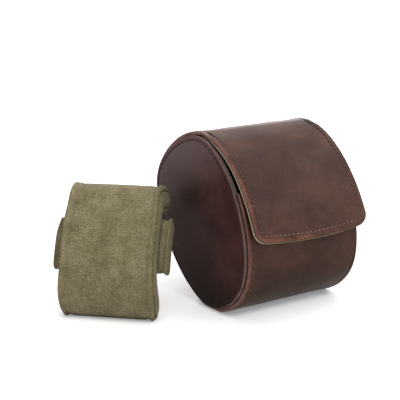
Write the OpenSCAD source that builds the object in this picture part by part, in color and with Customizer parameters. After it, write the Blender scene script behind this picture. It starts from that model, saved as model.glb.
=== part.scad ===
// Watch travel case: an oval leather box with a flap lid that bends at the top,
// and the canvas watch cushion that is lifted out of it and stands beside it.
// Millimetres. X runs along the case, the flap opens at the front (-Y), Z is up.
// The origin is the middle of the flat on which the case stands.

/* [Case outline] */
// Length of the leather wrap along the case
wrap_length = 80; // [60:1:110]
// Height of the outline, before its own weight flattens the bottom
case_height = 105.3; // [85:0.5:130]
// Depth of the outline, from the front panel to the back
case_depth = 97; // [80:0.5:120]
// How far the long way of the oval leans to the back
lean = 5.2; // [0:0.1:7]
// How much fuller the lower front is than the upper front
belly = 1.3; // [0:0.1:2]
// How much the upper front and lower back are drawn flat
flatness = 1.3; // [0:0.1:2]
// Where round the outline that flattening lies, in degrees
flatness_turn = 47; // [30:1:60]
// How deep the weight presses the bottom flat
foot_press = 0.9; // [0.3:0.1:1.5]

/* [Leather, board and cloth] */
// Thickness of the wrap and flap leather
leather_t = 1.8; // [1.2:0.1:2.4]
// Thickness of the board inside the wrap
board_t = 1.2; // [0.8:0.1:2]
// Thickness of the board inside the flap
flap_board_t = 1; // [0.8:0.1:1.4]
// Thickness of the canvas lining
lining_t = 0.7; // [0.4:0.1:1.2]
// Room that the glue takes between two layers
glue_gap = 0.05; // [0.04:0.01:0.1]

/* [Round ends] */
// Thickness of the leather on each round end
end_leather_t = 1.8; // [1.2:0.1:2.4]
// How far the end leather stands out of the wrap
end_proud = 1.75; // [1:0.05:2.4]
// Gap between the end leather's edge and the wrap
end_gap = 0.3; // [0.2:0.05:0.6]
// Thickness of the board behind the end leather
end_board_t = 1.5; // [1:0.1:2.5]
// Clearance between the end board's edge and the layers round it
end_board_gap = 0.4; // [0.3:0.1:0.8]
// Width of the leather welt that joins the wrap to the ends
welt_w = 6; // [4:0.5:9]

/* [Flap] */
// Angle on the outline where the flap bends, 90 is straight up
hinge_angle = 96; // [90:1:102]
// Angle on the outline where the front panel ends
panel_angle = 31; // [24:1:42]
// Angle on the flap where its tip lies
tip_angle = 19.6; // [16:0.1:26]
// How far the closed flap stands off the outline by the time it has turned to the front
flap_lift = 11.2; // [6:0.1:14]
// How late that stand-off grows, 1 is evenly
lift_power = 2.3; // [1.6:0.1:3]
// How much narrower than the wrap the flap is at the bend, on each side
flap_inset = 0.4; // [0.4:0.1:1]
// How much wider the flap is at its tip than at the bend, on each side
flap_flare = 0.8; // [0:0.1:1.5]
// Radius of the long curve along the flap's lower edge
flap_edge_r = 265; // [180:5:400]
// Radius of the flap's two lower corners
flap_corner_r = 7; // [4:0.5:12]
// How far the flap's board stays back from the flap's edge
flap_board_margin = 1.2; // [0.8:0.1:3]
// How far the flap's lining stays back from the flap's edge
flap_lining_margin = 0.5; // [0.4:0.1:1.5]
// Slit between the flap and the body at the bend
hinge_gap = 0.3; // [0.2:0.05:0.5]
// Width without board on each side of the bend
bend_w = 5; // [3:0.5:8]

/* [Magnets] */
// Diameter of the hidden closing magnets
magnet_d = 12; // [8:0.5:15]
// Thickness of a magnet
magnet_t = 0.6; // [0.4:0.05:0.7]
// Distance between the left and the right magnet
magnet_spacing = 36; // [26:1:48]
// How far the magnets' centres lie below the front panel's upper edge
magnet_below = 11.5; // [9:0.5:14]
// Clearance round a magnet in its board
magnet_gap = 0.2; // [0.1:0.05:0.4]

/* [Stitching] */
// Distance of a stitch row from the edge of the wrap and the flap
seam_inset = 3.4; // [2.5:0.1:5]
// Distance of the stitch row from the edge of a round end
end_seam_inset = 2.3; // [1.8:0.1:4]
// Width of the thread
thread_w = 0.6; // [0.4:0.1:1]
// How far the thread stands on the surface
thread_h = 0.25; // [0.15:0.05:0.4]

/* [Watch cushion] */
// Width of the cushion, without the ends of its bar
cushion_w = 55.5; // [42:0.5:60]
// Thickness of the pad that the watch strap goes round
pad_t = 14.7; // [13:0.1:19]
// How far the cushion leans back
cushion_lean = 26.5; // [12:0.5:30]
// Turn of the cushion against the case, seen from above
cushion_turn = -45; // [-60:1:-35]
// Where the cushion's foot stands, along the case from the middle of its base
cushion_x = -96; // [-120:0.5:-91]
// Where the cushion's foot stands, behind the middle of the base
cushion_y = 23.5; // [0:0.5:40]
// Radius of the pad's lower bend
lower_bend_r = 29.5; // [18:0.5:34]
// Length of the pad's long front, along its middle
front_l = 37.5; // [32:0.5:42]
// Radius of the crown on that front
front_r = 85; // [75:5:220]
// Radius of the pad's upper bend
upper_bend_r = 6; // [4:0.5:7]
// Length of the straight lip at the top of the pad
lip = 12; // [5:0.5:16]
// How deep the weight presses the pad's foot flat
pad_press = 1.3; // [0.6:0.1:2]
// Thickness of the cushion's canvas
canvas_t = 0.8; // [0.5:0.1:1.2]
// Width of the canvas that turns over each end of the cushion
canvas_turn = 3; // [2:0.5:4.5]

/* [Centring bar] */
// Length of the bar that keeps the cushion in the middle of the case
bar_l = 69; // [60:0.5:72]
// Height of the bar
bar_h = 34.4; // [24:0.1:36]
// Depth of the bar
bar_d = 11; // [9:0.5:14]
// Rounding of the bar's long edges
bar_r = 3.5; // [2:0.5:4.4]
// How far the bar's middle lies below the middle of the pad's front
bar_low = 4.2; // [1:0.1:5]
// How far the bar was sewn on to the right of the pad's middle
bar_aside = -1.2; // [-3:0.1:3]
// Clearance between the bar and the pad
bar_gap = 0.3; // [0.2:0.05:0.5]

/* [Hidden] */

leather_brown = "#4f3a35";
end_brown = "#3f2d2a";
welt_brown = "#5d4038";
board_grey = "#8d8478";
olive = "#8a8062";
foam_white = "#d8d4c8";
thread_mauve = "#8a6a60";
thread_olive = "#6c6348";
steel = "#b8bcc0";

// The outline is an oval given by its reach, the distance from its centre to the
// tangent that faces angle a. 0 is the front, 90 is up. A layer that lies deeper
// has the same reach less its depth, so all the layers stay parallel.
step = 3;
ripple_c = flatness * cos(flatness_turn);
ripple_s = flatness * sin(flatness_turn);
mean_reach = (case_height + case_depth) / 4 - ripple_c;
squash = (case_height - case_depth) / 4;

function reach(a) = mean_reach - squash * cos(2 * a) - lean * sin(2 * a) - belly * cos(3 * a)
    + ripple_c * cos(4 * a) - ripple_s * sin(4 * a);
// How the reach changes with the angle, in mm per radian
function reach_slope(a) = 2 * squash * sin(2 * a) - 2 * lean * cos(2 * a) + 3 * belly * sin(3 * a)
    - 4 * ripple_c * sin(4 * a) - 4 * ripple_s * cos(4 * a);

// The flap has the outline's reach and a stand-off that grows from the bend on
lift_end = 12;
radian = 180 / PI;
function flap_way(a) = max(0, (hinge_angle - a) / (hinge_angle - lift_end));
function lift(a) = flap_lift * pow(flap_way(a), lift_power);
function lift_slope(a) = -flap_lift * lift_power * pow(flap_way(a), lift_power - 1)
    * radian / (hinge_angle - lift_end);

// A point of the curve with reach h and slope s at angle a, as [y, z] over the base
base_shift = reach_slope(270);
base_drop = reach(270) - foot_press;
function curve_point(a, h, s) =
    [base_shift - h * cos(a) + s * sin(a), h * sin(a) + s * cos(a) + base_drop];
function rim(a, depth) = curve_point(a, reach(a) - depth, reach_slope(a));
function flap_rim(a, depth) = curve_point(a, reach(a) + lift(a) - depth, reach_slope(a) + lift_slope(a));

// Depths of the layers below the outline
board_top = leather_t + glue_gap;
lining_top = board_top + board_t + glue_gap;
end_edge = leather_t + end_gap;
flap_lining_top = board_top + flap_board_t + glue_gap;
flap_lining_end = flap_lining_top + lining_t;
end_board_edge = max(lining_top, flap_lining_end) + end_board_gap;

// Places along X
wrap_half = wrap_length / 2;
end_face = wrap_half + end_proud;
end_back = end_face - end_leather_t;
end_board_back = end_back - glue_gap - end_board_t;
end_lining_back = end_board_back - glue_gap - lining_t;
lining_half = end_lining_back - glue_gap;
welt_outer = min(wrap_half, end_back - glue_gap);
board_half = welt_outer - welt_w - glue_gap;

// The bend: half the slit on each side of the hinge line
slit_turn = hinge_gap / 2 / mean_reach * radian;
bend_turn = bend_w / mean_reach * radian;
body_from = hinge_angle + slit_turn;
body_to = 360 + panel_angle;
flap_from = hinge_angle - slit_turn;

function turns(from, to) = let (n = ceil(abs(to - from) / step))
    [for (i = [0 : n]) from + (to - from) * i / n];
function back_turns(from, to) = turns(to, from);

module along_x(from, to) {
    translate([from, 0, 0]) rotate([90, 0, 90]) linear_extrude(to - from) children();
}

// A layer of the wrap, from the bend round the back to the front panel's edge
module wrap_layer(top, bottom, half, from = body_from, to = body_to) {
    outer = [for (a = turns(from, to)) rim(a, top)];
    inner = [for (a = back_turns(from, to)) rim(a, bottom)];
    along_x(-half, half) polygon(concat(outer, inner));
}

// A full oval plate at the given depth below the outline
module oval_plate(depth, from, to) {
    along_x(from, to) polygon([for (a = [0 : step : 360 - step]) rim(a, depth)]);
}

module above_base() {
    big = 2 * (case_height + case_depth + wrap_length);
    intersection() {
        children();
        translate([-big / 2, -big / 2, 0]) cube(big);
    }
}

// The angle on the wrap, and on the flap, at height z, found by halving 0 to 90 degrees
search_steps = 20;
function rim_angle(z, from = 0, to = 90, n = search_steps) = let (mid = (from + to) / 2)
    n == 0 ? mid
    : rim(mid, 0)[1] > z ? rim_angle(z, from, mid, n - 1) : rim_angle(z, mid, to, n - 1);
function flap_angle(z, from = 0, to = 90, n = search_steps) = let (mid = (from + to) / 2)
    n == 0 ? mid
    : flap_rim(mid, 0)[1] > z ? flap_angle(z, from, mid, n - 1) : flap_angle(z, mid, to, n - 1);
magnet_height = rim(panel_angle, 0)[1] - magnet_below;
panel_magnet_angle = rim_angle(magnet_height);
flap_magnet_angle = flap_angle(magnet_height);

// The outline's radius at the front panel, and how far a flat magnet sinks under its curve
panel_r = norm(rim(panel_magnet_angle + step, 0) - rim(panel_magnet_angle - step, 0))
    / (2 * step) * radian;
magnet_sink = pow(magnet_d / 2, 2) / 2 / panel_r + glue_gap;
panel_seam_turn = seam_inset / panel_r * radian;
thread_turn = thread_w / panel_r * radian;

// Puts its children on both magnet places, with +Z looking out of the surface
module at_magnets(p, a) {
    for (side = [-1, 1])
        translate([side * magnet_spacing / 2, p[0], p[1]]) rotate([90 - a, 0, 0]) children();
}

// ---- wrap ----

module body_leather() {
    color(leather_brown) above_base() wrap_layer(0, leather_t, wrap_half);
}

module body_board() {
    color(board_grey) difference() {
        wrap_layer(board_top, board_top + board_t, board_half, from = body_from + bend_turn);
        at_magnets(rim(panel_magnet_angle, board_top), panel_magnet_angle)
            cylinder(d = magnet_d + 2 * magnet_gap, h = 4 * board_t, center = true, $fn = 64);
    }
}

module body_lining() {
    color(olive) wrap_layer(lining_top, lining_top + lining_t, lining_half);
}

module welt(side) {
    color(welt_brown) intersection() {
        wrap_layer(board_top, board_top + board_t, welt_outer);
        translate([side > 0 ? welt_outer - welt_w : -welt_outer, -case_depth, 0])
            cube([welt_w, 2 * case_depth, 2 * case_height]);
    }
}

module panel_magnets() {
    color(steel) at_magnets(rim(panel_magnet_angle, board_top + magnet_sink), panel_magnet_angle)
        translate([0, 0, -magnet_t]) cylinder(d = magnet_d, h = magnet_t, $fn = 64);
}

// A stitch row on the wrap, a seam's inset from its left or right edge
module wrap_thread(side) {
    row = side * (wrap_half - seam_inset);
    color(thread_mauve) above_base() intersection() {
        wrap_layer(-thread_h - glue_gap, -glue_gap, wrap_half);
        translate([row - thread_w / 2, -case_depth, 0])
            cube([thread_w, 2 * case_depth, 2 * case_height]);
    }
}

// The stitch row along the front panel's upper edge
module panel_thread() {
    color(thread_mauve) wrap_layer(-thread_h - glue_gap, -glue_gap, wrap_half - seam_inset - thread_w,
        from = body_to - panel_seam_turn - thread_turn, to = body_to - panel_seam_turn);
}

// ---- round ends ----

// One layer of a round end, on the left (side -1) or on the right (side 1)
module end_layer(side, depth, inner, outer) {
    oval_plate(depth, side > 0 ? inner : -outer, side > 0 ? outer : -inner);
}

module end_leather(side) {
    color(end_brown) end_layer(side, end_edge, end_back, end_face);
}

module end_board(side) {
    color(board_grey) end_layer(side, end_board_edge, end_board_back, end_back - glue_gap);
}

module end_lining(side) {
    color(olive) end_layer(side, end_board_edge, end_lining_back, end_board_back - glue_gap);
}

module end_thread(side) {
    row = end_edge + end_seam_inset;
    low = end_face + glue_gap;
    color(thread_mauve) difference() {
        end_layer(side, row, low, low + thread_h);
        end_layer(side, row + thread_w, low - thread_h, low + 2 * thread_h);
    }
}

// ---- flap ----

flap_half = wrap_half - flap_inset;
flap_tip_half = flap_half + flap_flare;
flap_corner_x = flap_tip_half - flap_corner_r;
flap_corner_up = flap_edge_r - sqrt(pow(flap_edge_r - flap_corner_r, 2) - pow(flap_corner_x, 2));
flap_edge_turn = asin(flap_corner_x / (flap_edge_r - flap_corner_r));
flap_tip = flap_rim(tip_angle, 0);
flap_root = flap_rim(flap_from, 0);
flap_rise = norm(flap_root - flap_tip);

// The flap's outline laid flat: x across, y up from the middle of its curved lower edge
function flap_corner(margin, a, side) =
    [side * flap_corner_x, flap_corner_up] + (flap_corner_r - margin) * [cos(a), sin(a)];
function flap_plan(margin) = concat(
    [for (a = turns(-flap_edge_turn, flap_edge_turn))
        [(flap_edge_r - margin) * sin(a), flap_edge_r - (flap_edge_r - margin) * cos(a)]],
    [for (a = turns(flap_edge_turn - 90, 0)) flap_corner(margin, a, 1)],
    [[flap_half - margin, flap_rise], [flap_half - margin, 2 * case_height]],
    [[margin - flap_half, 2 * case_height], [margin - flap_half, flap_rise]],
    [for (a = turns(180, 270 - flap_edge_turn)) flap_corner(margin, a, -1)]);

// That outline, pushed through the flap square to its tip
module flap_cutter(margin) {
    translate([0, flap_tip[0], flap_tip[1]]) rotate([90 - tip_angle, 0, 0])
        translate([0, 0, -case_height]) linear_extrude(2 * case_height) polygon(flap_plan(margin));
}

module flap_layer(top, bottom, margin = 0, from = flap_from) {
    beyond = tip_angle - 2 * step;
    outer = [for (a = turns(from, beyond)) flap_rim(a, top)];
    inner = [for (a = back_turns(from, beyond)) flap_rim(a, bottom)];
    intersection() {
        along_x(-flap_tip_half, flap_tip_half) polygon(concat(outer, inner));
        flap_cutter(margin);
    }
}

module flap_leather() {
    color(leather_brown) flap_layer(0, leather_t);
}

module flap_board() {
    color(board_grey) difference() {
        flap_layer(board_top, board_top + flap_board_t, flap_board_margin, flap_from - bend_turn);
        at_magnets(flap_rim(flap_magnet_angle, board_top), flap_magnet_angle)
            cylinder(d = magnet_d + 2 * magnet_gap, h = 4 * flap_board_t, center = true, $fn = 64);
    }
}

module flap_lining() {
    color(olive) flap_layer(flap_lining_top, flap_lining_end, flap_lining_margin);
}

module flap_magnets() {
    color(steel) at_magnets(flap_rim(flap_magnet_angle, board_top + magnet_sink), flap_magnet_angle)
        translate([0, 0, -magnet_t]) cylinder(d = magnet_d, h = magnet_t, $fn = 64);
}

module flap_thread() {
    color(thread_mauve) difference() {
        flap_layer(-thread_h - glue_gap, -glue_gap, seam_inset, flap_from - bend_turn);
        flap_cutter(seam_inset + thread_w);
    }
}

// ---- watch cushion ----

// The pad is a band of even thickness with round ends. Its middle line starts in
// the foot, bends up into a long crowned front and bends back into a short lip.
// A station on it is [back, up, heading in degrees].
lower_sweep = 55;
upper_sweep = 58;
foot_heading = 150;
front_sweep = front_l / front_r * radian;

function bend_centre(p, r) = [p[0] + r * sin(p[2]), p[1] - r * cos(p[2])];
function after_bend(p, r, sweep) = let (c = bend_centre(p, r))
    [c[0] - r * sin(p[2] - sweep), c[1] + r * cos(p[2] - sweep), p[2] - sweep];
function bend(p, r, sweep, first, last) = [for (i = [first : last]) after_bend(p, r, sweep * i / last)];
// The point at distance d to the left of a station
function beside(p, d) = [p[0] - d * sin(p[2]), p[1] + d * cos(p[2])];

pad_foot = [0, pad_t / 2 - pad_press, foot_heading - cushion_lean];
pad_front = after_bend(pad_foot, lower_bend_r, lower_sweep);
pad_top = after_bend(pad_front, front_r, front_sweep);
pad_back = after_bend(pad_top, upper_bend_r, upper_sweep);
pad_tip = [pad_back[0] + lip * cos(pad_back[2]), pad_back[1] + lip * sin(pad_back[2]), pad_back[2]];

pad_front_line = concat(bend(pad_foot, lower_bend_r, lower_sweep, 0, 10),
    bend(pad_front, front_r, front_sweep, 1, 6));
pad_upper_line = bend(pad_top, upper_bend_r, upper_sweep, 1, 10);

// A half turn of radius r round a station, from one angle to another off its heading
cap_parts = 12;
function cap(p, r, first, last) = [for (i = [0 : cap_parts])
    let (a = p[2] + first + (last - first) * i / cap_parts) [p[0] + r * cos(a), p[1] + r * sin(a)]];

// The inside of the upper bend is a plain corner, because its radius is less than half the pad
function pad_corner(half) = let (a = pad_top[2] - upper_sweep / 2)
    bend_centre(pad_top, upper_bend_r) + (half - upper_bend_r) / cos(upper_sweep / 2) * [sin(a), -cos(a)];

function pad_outline(half) = concat(
    [for (p = concat(pad_front_line, pad_upper_line)) beside(p, half)],
    cap(pad_tip, half, 90, -90),
    [pad_corner(half)],
    [for (i = [len(pad_front_line) - 2 : -1 : 0]) beside(pad_front_line[i], -half)],
    cap(pad_foot, half, 270, 90));

// Moves from the cushion's own frame, X along it and Y to its back, to the case's
module on_cushion() {
    translate([cushion_x, cushion_y, 0]) rotate([0, 0, cushion_turn]) children();
}

pad_half = pad_t / 2;
cushion_half = cushion_w / 2;

// The pad's outline made thinner by inset, from one X to another, cut off below height foot
module pad_block(inset, from, to, foot = 0) {
    big = 4 * cushion_w;
    intersection() {
        along_x(from, to) polygon(pad_outline(pad_half - inset));
        translate([-big / 2, -big / 2, foot]) cube(big);
    }
}

module cushion_canvas() {
    inside = cushion_half - canvas_t;
    color(olive) on_cushion() difference() {
        pad_block(0, -cushion_half, cushion_half);
        pad_block(canvas_t, -inside, inside, foot = canvas_t);
        pad_block(canvas_turn, -cushion_w, cushion_w, foot = canvas_turn);
    }
}

module cushion_foam() {
    inside = cushion_half - canvas_t - glue_gap;
    inset = canvas_t + glue_gap;
    color(foam_white) on_cushion() pad_block(inset, -inside, inside, foot = inset);
}

module cushion_end(side) {
    inner = cushion_half - canvas_t;
    edge = canvas_turn + glue_gap;
    color(olive) on_cushion()
        pad_block(edge, side > 0 ? inner : -cushion_half, side > 0 ? cushion_half : -inner, foot = edge);
}

module cushion_thread(side) {
    low = cushion_half + glue_gap;
    high = low + thread_h;
    row = canvas_turn - 2 * thread_w;
    color(thread_olive) on_cushion() difference() {
        pad_block(row, side > 0 ? low : -high, side > 0 ? high : -low, foot = row);
        pad_block(row + thread_w, side > 0 ? low - thread_h : -high - thread_h,
            side > 0 ? high + thread_h : thread_h - low, foot = row + thread_w);
    }
}

// ---- centring bar ----

// The bar lies on the back of the pad's front and is curved with it. A point of
// its section is [depth behind that back, height above the middle of the front].
bar_half = bar_l / 2;
back_r = front_r - pad_half;
crown = bend_centre(pad_front, front_r);
crown_heading = pad_front[2] - front_sweep / 2;
function on_back(p) = let (a = crown_heading - p[1] / back_r * radian, r = back_r - bar_gap - p[0])
    [crown[0] - r * sin(a), crown[1] + r * cos(a)];

// A rounded edge of the bar, over the quarter turn that starts at angle a
function bar_edge(depth, height, r, a) =
    [for (i = [0 : 6]) [depth + r * cos(a + 15 * i), height + r * sin(a + 15 * i)]];

// The bar's section made smaller by inset, from one X to another
module bar_block(inset, from, to) {
    high = bar_h / 2 - bar_low - bar_r;
    low = bar_r - bar_h / 2 - bar_low;
    r = bar_r - inset;
    section = concat(
        bar_edge(bar_d - bar_r, high, r, 0),
        bar_edge(bar_r, high, r, 90),
        [for (i = [1 : 5]) [inset, high + (low - high) * i / 6]],
        bar_edge(bar_r, low, r, 180),
        bar_edge(bar_d - bar_r, low, r, 270),
        [for (i = [1 : 5]) [bar_d - inset, low + (high - low) * i / 6]]);
    on_cushion() along_x(bar_aside + from, bar_aside + to) polygon([for (p = section) on_back(p)]);
}

module bar_canvas() {
    color(olive) difference() {
        bar_block(0, -bar_half, bar_half);
        bar_block(canvas_t, -bar_l, bar_l);
    }
}

module bar_foam() {
    inside = bar_half - canvas_t - glue_gap;
    color(foam_white) bar_block(canvas_t + glue_gap, -inside, inside);
}

module bar_end(side) {
    inner = bar_half - canvas_t;
    edge = canvas_t + glue_gap;
    color(olive) bar_block(edge, side > 0 ? inner : -bar_half, side > 0 ? bar_half : -inner);
}

body_leather();
body_board();
body_lining();
welt(-1);  // left_welt
welt(1);  // right_welt
panel_magnets();
wrap_thread(-1);  // left_wrap_thread
wrap_thread(1);  // right_wrap_thread
panel_thread();
end_leather(-1);  // left_end_leather
end_board(-1);  // left_end_board
end_lining(-1);  // left_end_lining
end_thread(-1);  // left_end_thread
end_leather(1);  // right_end_leather
end_board(1);  // right_end_board
end_lining(1);  // right_end_lining
end_thread(1);  // right_end_thread
flap_leather();
flap_board();
flap_lining();
flap_magnets();
flap_thread();
cushion_canvas();
cushion_foam();
cushion_end(-1);  // cushion_left_end
cushion_end(1);  // cushion_right_end
cushion_thread(-1);  // cushion_left_thread
cushion_thread(1);  // cushion_right_thread
bar_canvas();
bar_foam();
bar_end(-1);  // bar_left_end
bar_end(1);  // bar_right_end
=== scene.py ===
# %% [markdown]
# # A leather travel case for one watch
# The case is a roll of oiled leather closed by two round ends, with a flap that bends at the
# top. The canvas cushion that carries the watch inside it stands beside it. The solids come
# from the CAD model; this script dresses them. It works in metres, in the CAD's own frame:
# X runs along the case, the front faces -Y and the table is at Z = 0.

import bmesh
import bpy
import numpy as np
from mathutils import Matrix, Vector


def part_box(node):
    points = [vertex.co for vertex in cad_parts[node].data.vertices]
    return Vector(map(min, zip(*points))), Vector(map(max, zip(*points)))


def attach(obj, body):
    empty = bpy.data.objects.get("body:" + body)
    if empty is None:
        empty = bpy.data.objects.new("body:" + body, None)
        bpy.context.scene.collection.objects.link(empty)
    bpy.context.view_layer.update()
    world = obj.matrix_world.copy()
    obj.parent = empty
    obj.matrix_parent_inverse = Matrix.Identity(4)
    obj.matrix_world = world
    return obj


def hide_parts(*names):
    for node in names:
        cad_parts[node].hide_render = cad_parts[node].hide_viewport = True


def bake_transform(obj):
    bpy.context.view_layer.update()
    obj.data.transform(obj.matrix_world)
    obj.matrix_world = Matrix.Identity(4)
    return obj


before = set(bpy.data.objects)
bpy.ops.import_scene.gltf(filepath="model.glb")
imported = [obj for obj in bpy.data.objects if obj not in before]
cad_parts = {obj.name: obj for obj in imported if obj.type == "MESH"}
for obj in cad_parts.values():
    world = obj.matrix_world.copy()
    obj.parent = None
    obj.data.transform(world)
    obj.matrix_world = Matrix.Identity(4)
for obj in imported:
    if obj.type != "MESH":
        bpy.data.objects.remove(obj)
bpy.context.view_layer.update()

# %% [markdown]
# ## Sizes
# Every size is written once, in millimetres, and a length reaches Blender through `MM`.
# The outline of the case is an oval that is given by its reach: how far the tangent that
# faces angle a lies from the centre, with 0 at the front and 90 degrees straight up.
# A layer of leather, board or canvas that lies deeper has the same reach less its depth,
# which keeps all the layers parallel without any offsetting tool.

# %% Thicknesses and places
MM = 0.001
LEATHER = 1.8
BOARD = 1.2
FLAP_BOARD = 1.0
LINING = 0.7
GLUE = 0.05  # the clearance between two layers
WRAP_HALF = 40.0  # half the width of the wrap
END_PROUD = 1.75  # how far the round ends stand out of the wrap
END_GAP = 0.3  # between a round end and the wrap about it
END_BOARD = 1.5
END_BOARD_EDGE = 4.2  # from the outline in to an end's board and lining
HINGE = np.radians(96)
PANEL_EDGE = np.radians(360 + 31)  # the front panel's upper edge, reached over back and bottom
TIP = np.radians(19.6)  # the lower edge of the closed flap
BEND_HALF = 7.2  # length of the bend to each side of the hinge
BEND_R = 50.0  # radius of the outline there, near enough
BEND_TURN = BEND_HALF / BEND_R
SEAM_INSET = 3.4
END_SEAM_INSET = 2.3
BOARD_TOP = LEATHER + GLUE
LINING_TOP = BOARD_TOP + BOARD + GLUE
FLAP_LINING_TOP = BOARD_TOP + FLAP_BOARD + GLUE
END_FACE = WRAP_HALF + END_PROUD
END_BACK = END_FACE - LEATHER
LINING_HALF = END_BACK - 3 * GLUE - END_BOARD - LINING
print("width of the case over its ends, mm:", 2 * END_FACE)

# %% Sizes of the outline
CASE_HEIGHT = 105.3
CASE_DEPTH = 97.0
LEAN = 5.2  # fuller high up behind and low down in front
BELLY = 1.3  # fuller behind than in front
FLATNESS = 1.3  # four slightly flat sides
FLATNESS_TURN = np.radians(47)
FOOT_PRESS = 0.9  # how far the bottom is pressed flat
MEAN_REACH = (CASE_HEIGHT + CASE_DEPTH) / 4 - FLATNESS * np.cos(FLATNESS_TURN)
SQUASH = (CASE_HEIGHT - CASE_DEPTH) / 4
FLAP_LIFT = 11.2  # stand-off of the closed flap at LIFT_END, just past its tip
LIFT_POWER = 2.3
LIFT_END = np.radians(12)
print("height and depth of the case, mm:", CASE_HEIGHT, CASE_DEPTH)


# %% The outline as a formula
def reach(a):
    """Distance of the tangent facing angle a: a circle, squashed, leaning, with a belly and flats.

    Each of these is a cosine or sine wave with 2, 2, 3 and 4 periods to the turn.
    """
    return (MEAN_REACH - SQUASH * np.cos(2 * a) - LEAN * np.sin(2 * a)
            - BELLY * np.cos(3 * a) + FLATNESS * np.cos(4 * a + FLATNESS_TURN))


def reach_slope(a):
    """How fast the reach changes with a, in mm per radian."""
    return (2 * SQUASH * np.sin(2 * a) - 2 * LEAN * np.cos(2 * a)
            + 3 * BELLY * np.sin(3 * a) - 4 * FLATNESS * np.sin(4 * a + FLATNESS_TURN))


def lift(a):
    """The closed flap's stand-off: nothing at the bend, growing as a power of the angle from it."""
    way = np.maximum(0, (HINGE - a) / (HINGE - LIFT_END))
    return FLAP_LIFT * way ** LIFT_POWER


def lift_slope(a):
    """How fast the stand-off changes with a, in mm per radian."""
    way = np.maximum(0, (HINGE - a) / (HINGE - LIFT_END))
    return -FLAP_LIFT * LIFT_POWER * way ** (LIFT_POWER - 1) / (HINGE - LIFT_END)


BASE_SHIFT = reach_slope(np.radians(270))
BASE_DROP = reach(np.radians(270)) - FOOT_PRESS
print("the centre stands over the table by, mm:", BASE_DROP.round(1))


# %% Points on the outline
def tangent_point(a, h, slope):
    """The point [y, z] where the tangent facing a, at distance h from the centre, touches the oval."""
    y = BASE_SHIFT - h * np.cos(a) + slope * np.sin(a)
    z = BASE_DROP + h * np.sin(a) + slope * np.cos(a)
    return np.stack([y, z], -1)


def case_line(a, depth=0.0):
    """The case's outline at angle a, depth mm under its surface."""
    return tangent_point(a, reach(a) - depth, reach_slope(a))


def flap_line(a, depth=0.0):
    """The closed flap's outline at angle a, depth mm under its surface."""
    return tangent_point(a, reach(a) + lift(a) - depth, reach_slope(a) + lift_slope(a))


def outward(a):
    """The direction [y, z] that faces out of the outline at angle a."""
    return np.stack([-np.cos(a), np.sin(a)], -1)


low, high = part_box("body_leather")
print("wrap in the CAD, mm:", [round(1000 * v, 1) for v in high - low])
print("back of the formula, mm:", case_line(np.radians(np.arange(97, 391)))[:, 0].max().round(1))

# %% [markdown]
# ## Camera
# A long lens from the front left, a little above, shows the left round end, the front and
# some of the top. Its place and turn are given rather than set by a tracking constraint, so
# that the other views only have to move it.

# %% Camera
LOOKS_DOWN = 14.0  # degrees
LOOKS_RIGHT = 34.45
scene = bpy.context.scene
camera_data = bpy.data.cameras.new("camera")
camera_data.lens = 106.43
camera_data.sensor_width = 36
camera = bpy.data.objects.new("camera", camera_data)
camera.location = np.array([-422.3, -544.4, 232.3]) * MM
camera.rotation_euler = np.radians([90 - LOOKS_DOWN, 0, -LOOKS_RIGHT])
scene.collection.objects.link(camera)
scene.camera = camera
print("camera to the case, mm:", round(camera.location.length * 1000))

# %% [markdown]
# ## Making meshes from arrays
# Each piece is a surface on a grid: rows and columns of points worked out with numpy. Two
# such grids, an upper and a lower face, joined round their borders by a rim, make a closed
# sheet of real thickness. A Solidify modifier could give the thickness too, but the rim
# keeps a material of its own this way, because the cut edge of leather looks different from
# its face. A Bevel modifier rounds the cut edges. Where two strips of the same leather
# meet, the end stays unrounded and flat to the last row, so that no line shows there.


# %% Grids and pieces
def grid_faces(rows, columns, around=False):
    """Quads of a grid of points, numbered row by row. around closes each row on itself."""
    i, j = np.meshgrid(np.arange(rows - 1), np.arange(columns - (not around)), indexing="ij")
    k = (j + 1) % columns
    quads = [i * columns + j, i * columns + k, (i + 1) * columns + k, (i + 1) * columns + j]
    return np.stack(quads, -1).reshape(-1, 4)


def make_piece(name, points_mm, faces, materials, slots=None, worn=None, uv_mm=None):
    """A mesh object at the origin. slots is a material number per face, worn a value per point."""
    mesh = bpy.data.meshes.new(name)
    mesh.from_pydata((points_mm * MM).tolist(), [], [list(map(int, f)) for f in faces])
    for material in materials:
        mesh.materials.append(material)
    if slots is not None:
        mesh.polygons.foreach_set("material_index", np.asarray(slots, np.int32))
    if worn is not None:
        attribute = mesh.attributes.new("worn", "FLOAT", "POINT")
        attribute.data.foreach_set("value", np.asarray(worn, np.float32))
    if uv_mm is not None:
        layer = mesh.uv_layers.new(name="cloth")
        layer.uv.foreach_set("vector", (np.asarray(uv_mm) * MM).astype(np.float32).ravel())
    mesh.polygons.foreach_set("use_smooth", np.ones(len(mesh.polygons), bool))
    shell = bmesh.new()
    shell.from_mesh(mesh)
    bmesh.ops.recalc_face_normals(shell, faces=shell.faces)
    shell.to_mesh(mesh)
    shell.free()
    piece = bpy.data.objects.new(name, mesh)
    scene.collection.objects.link(piece)
    return piece


print("a grid of 3 x 4 points has", len(grid_faces(3, 4)), "faces")

# %% Rounded edges
CUT_ROUND = 0.45  # radius of a cut and rubbed edge


def round_edges(piece, rounded, edge_r):
    """Rounds the edges picked by the mask, one value per edge, with a Bevel of edge_r mm."""
    weights = piece.data.attributes.new("bevel_weight_edge", "FLOAT", "EDGE")
    weights.data.foreach_set("value", rounded.astype(np.float32))
    bevel = piece.modifiers.new("rounded edge", "BEVEL")
    bevel.width = edge_r * MM
    bevel.segments = 3
    bevel.limit_method = "WEIGHT"


def edge_ends(piece):
    """The two point numbers of each edge."""
    ends = np.empty(2 * len(piece.data.edges), np.int32)
    piece.data.edges.foreach_get("vertices", ends)
    return ends.reshape(-1, 2)


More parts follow.
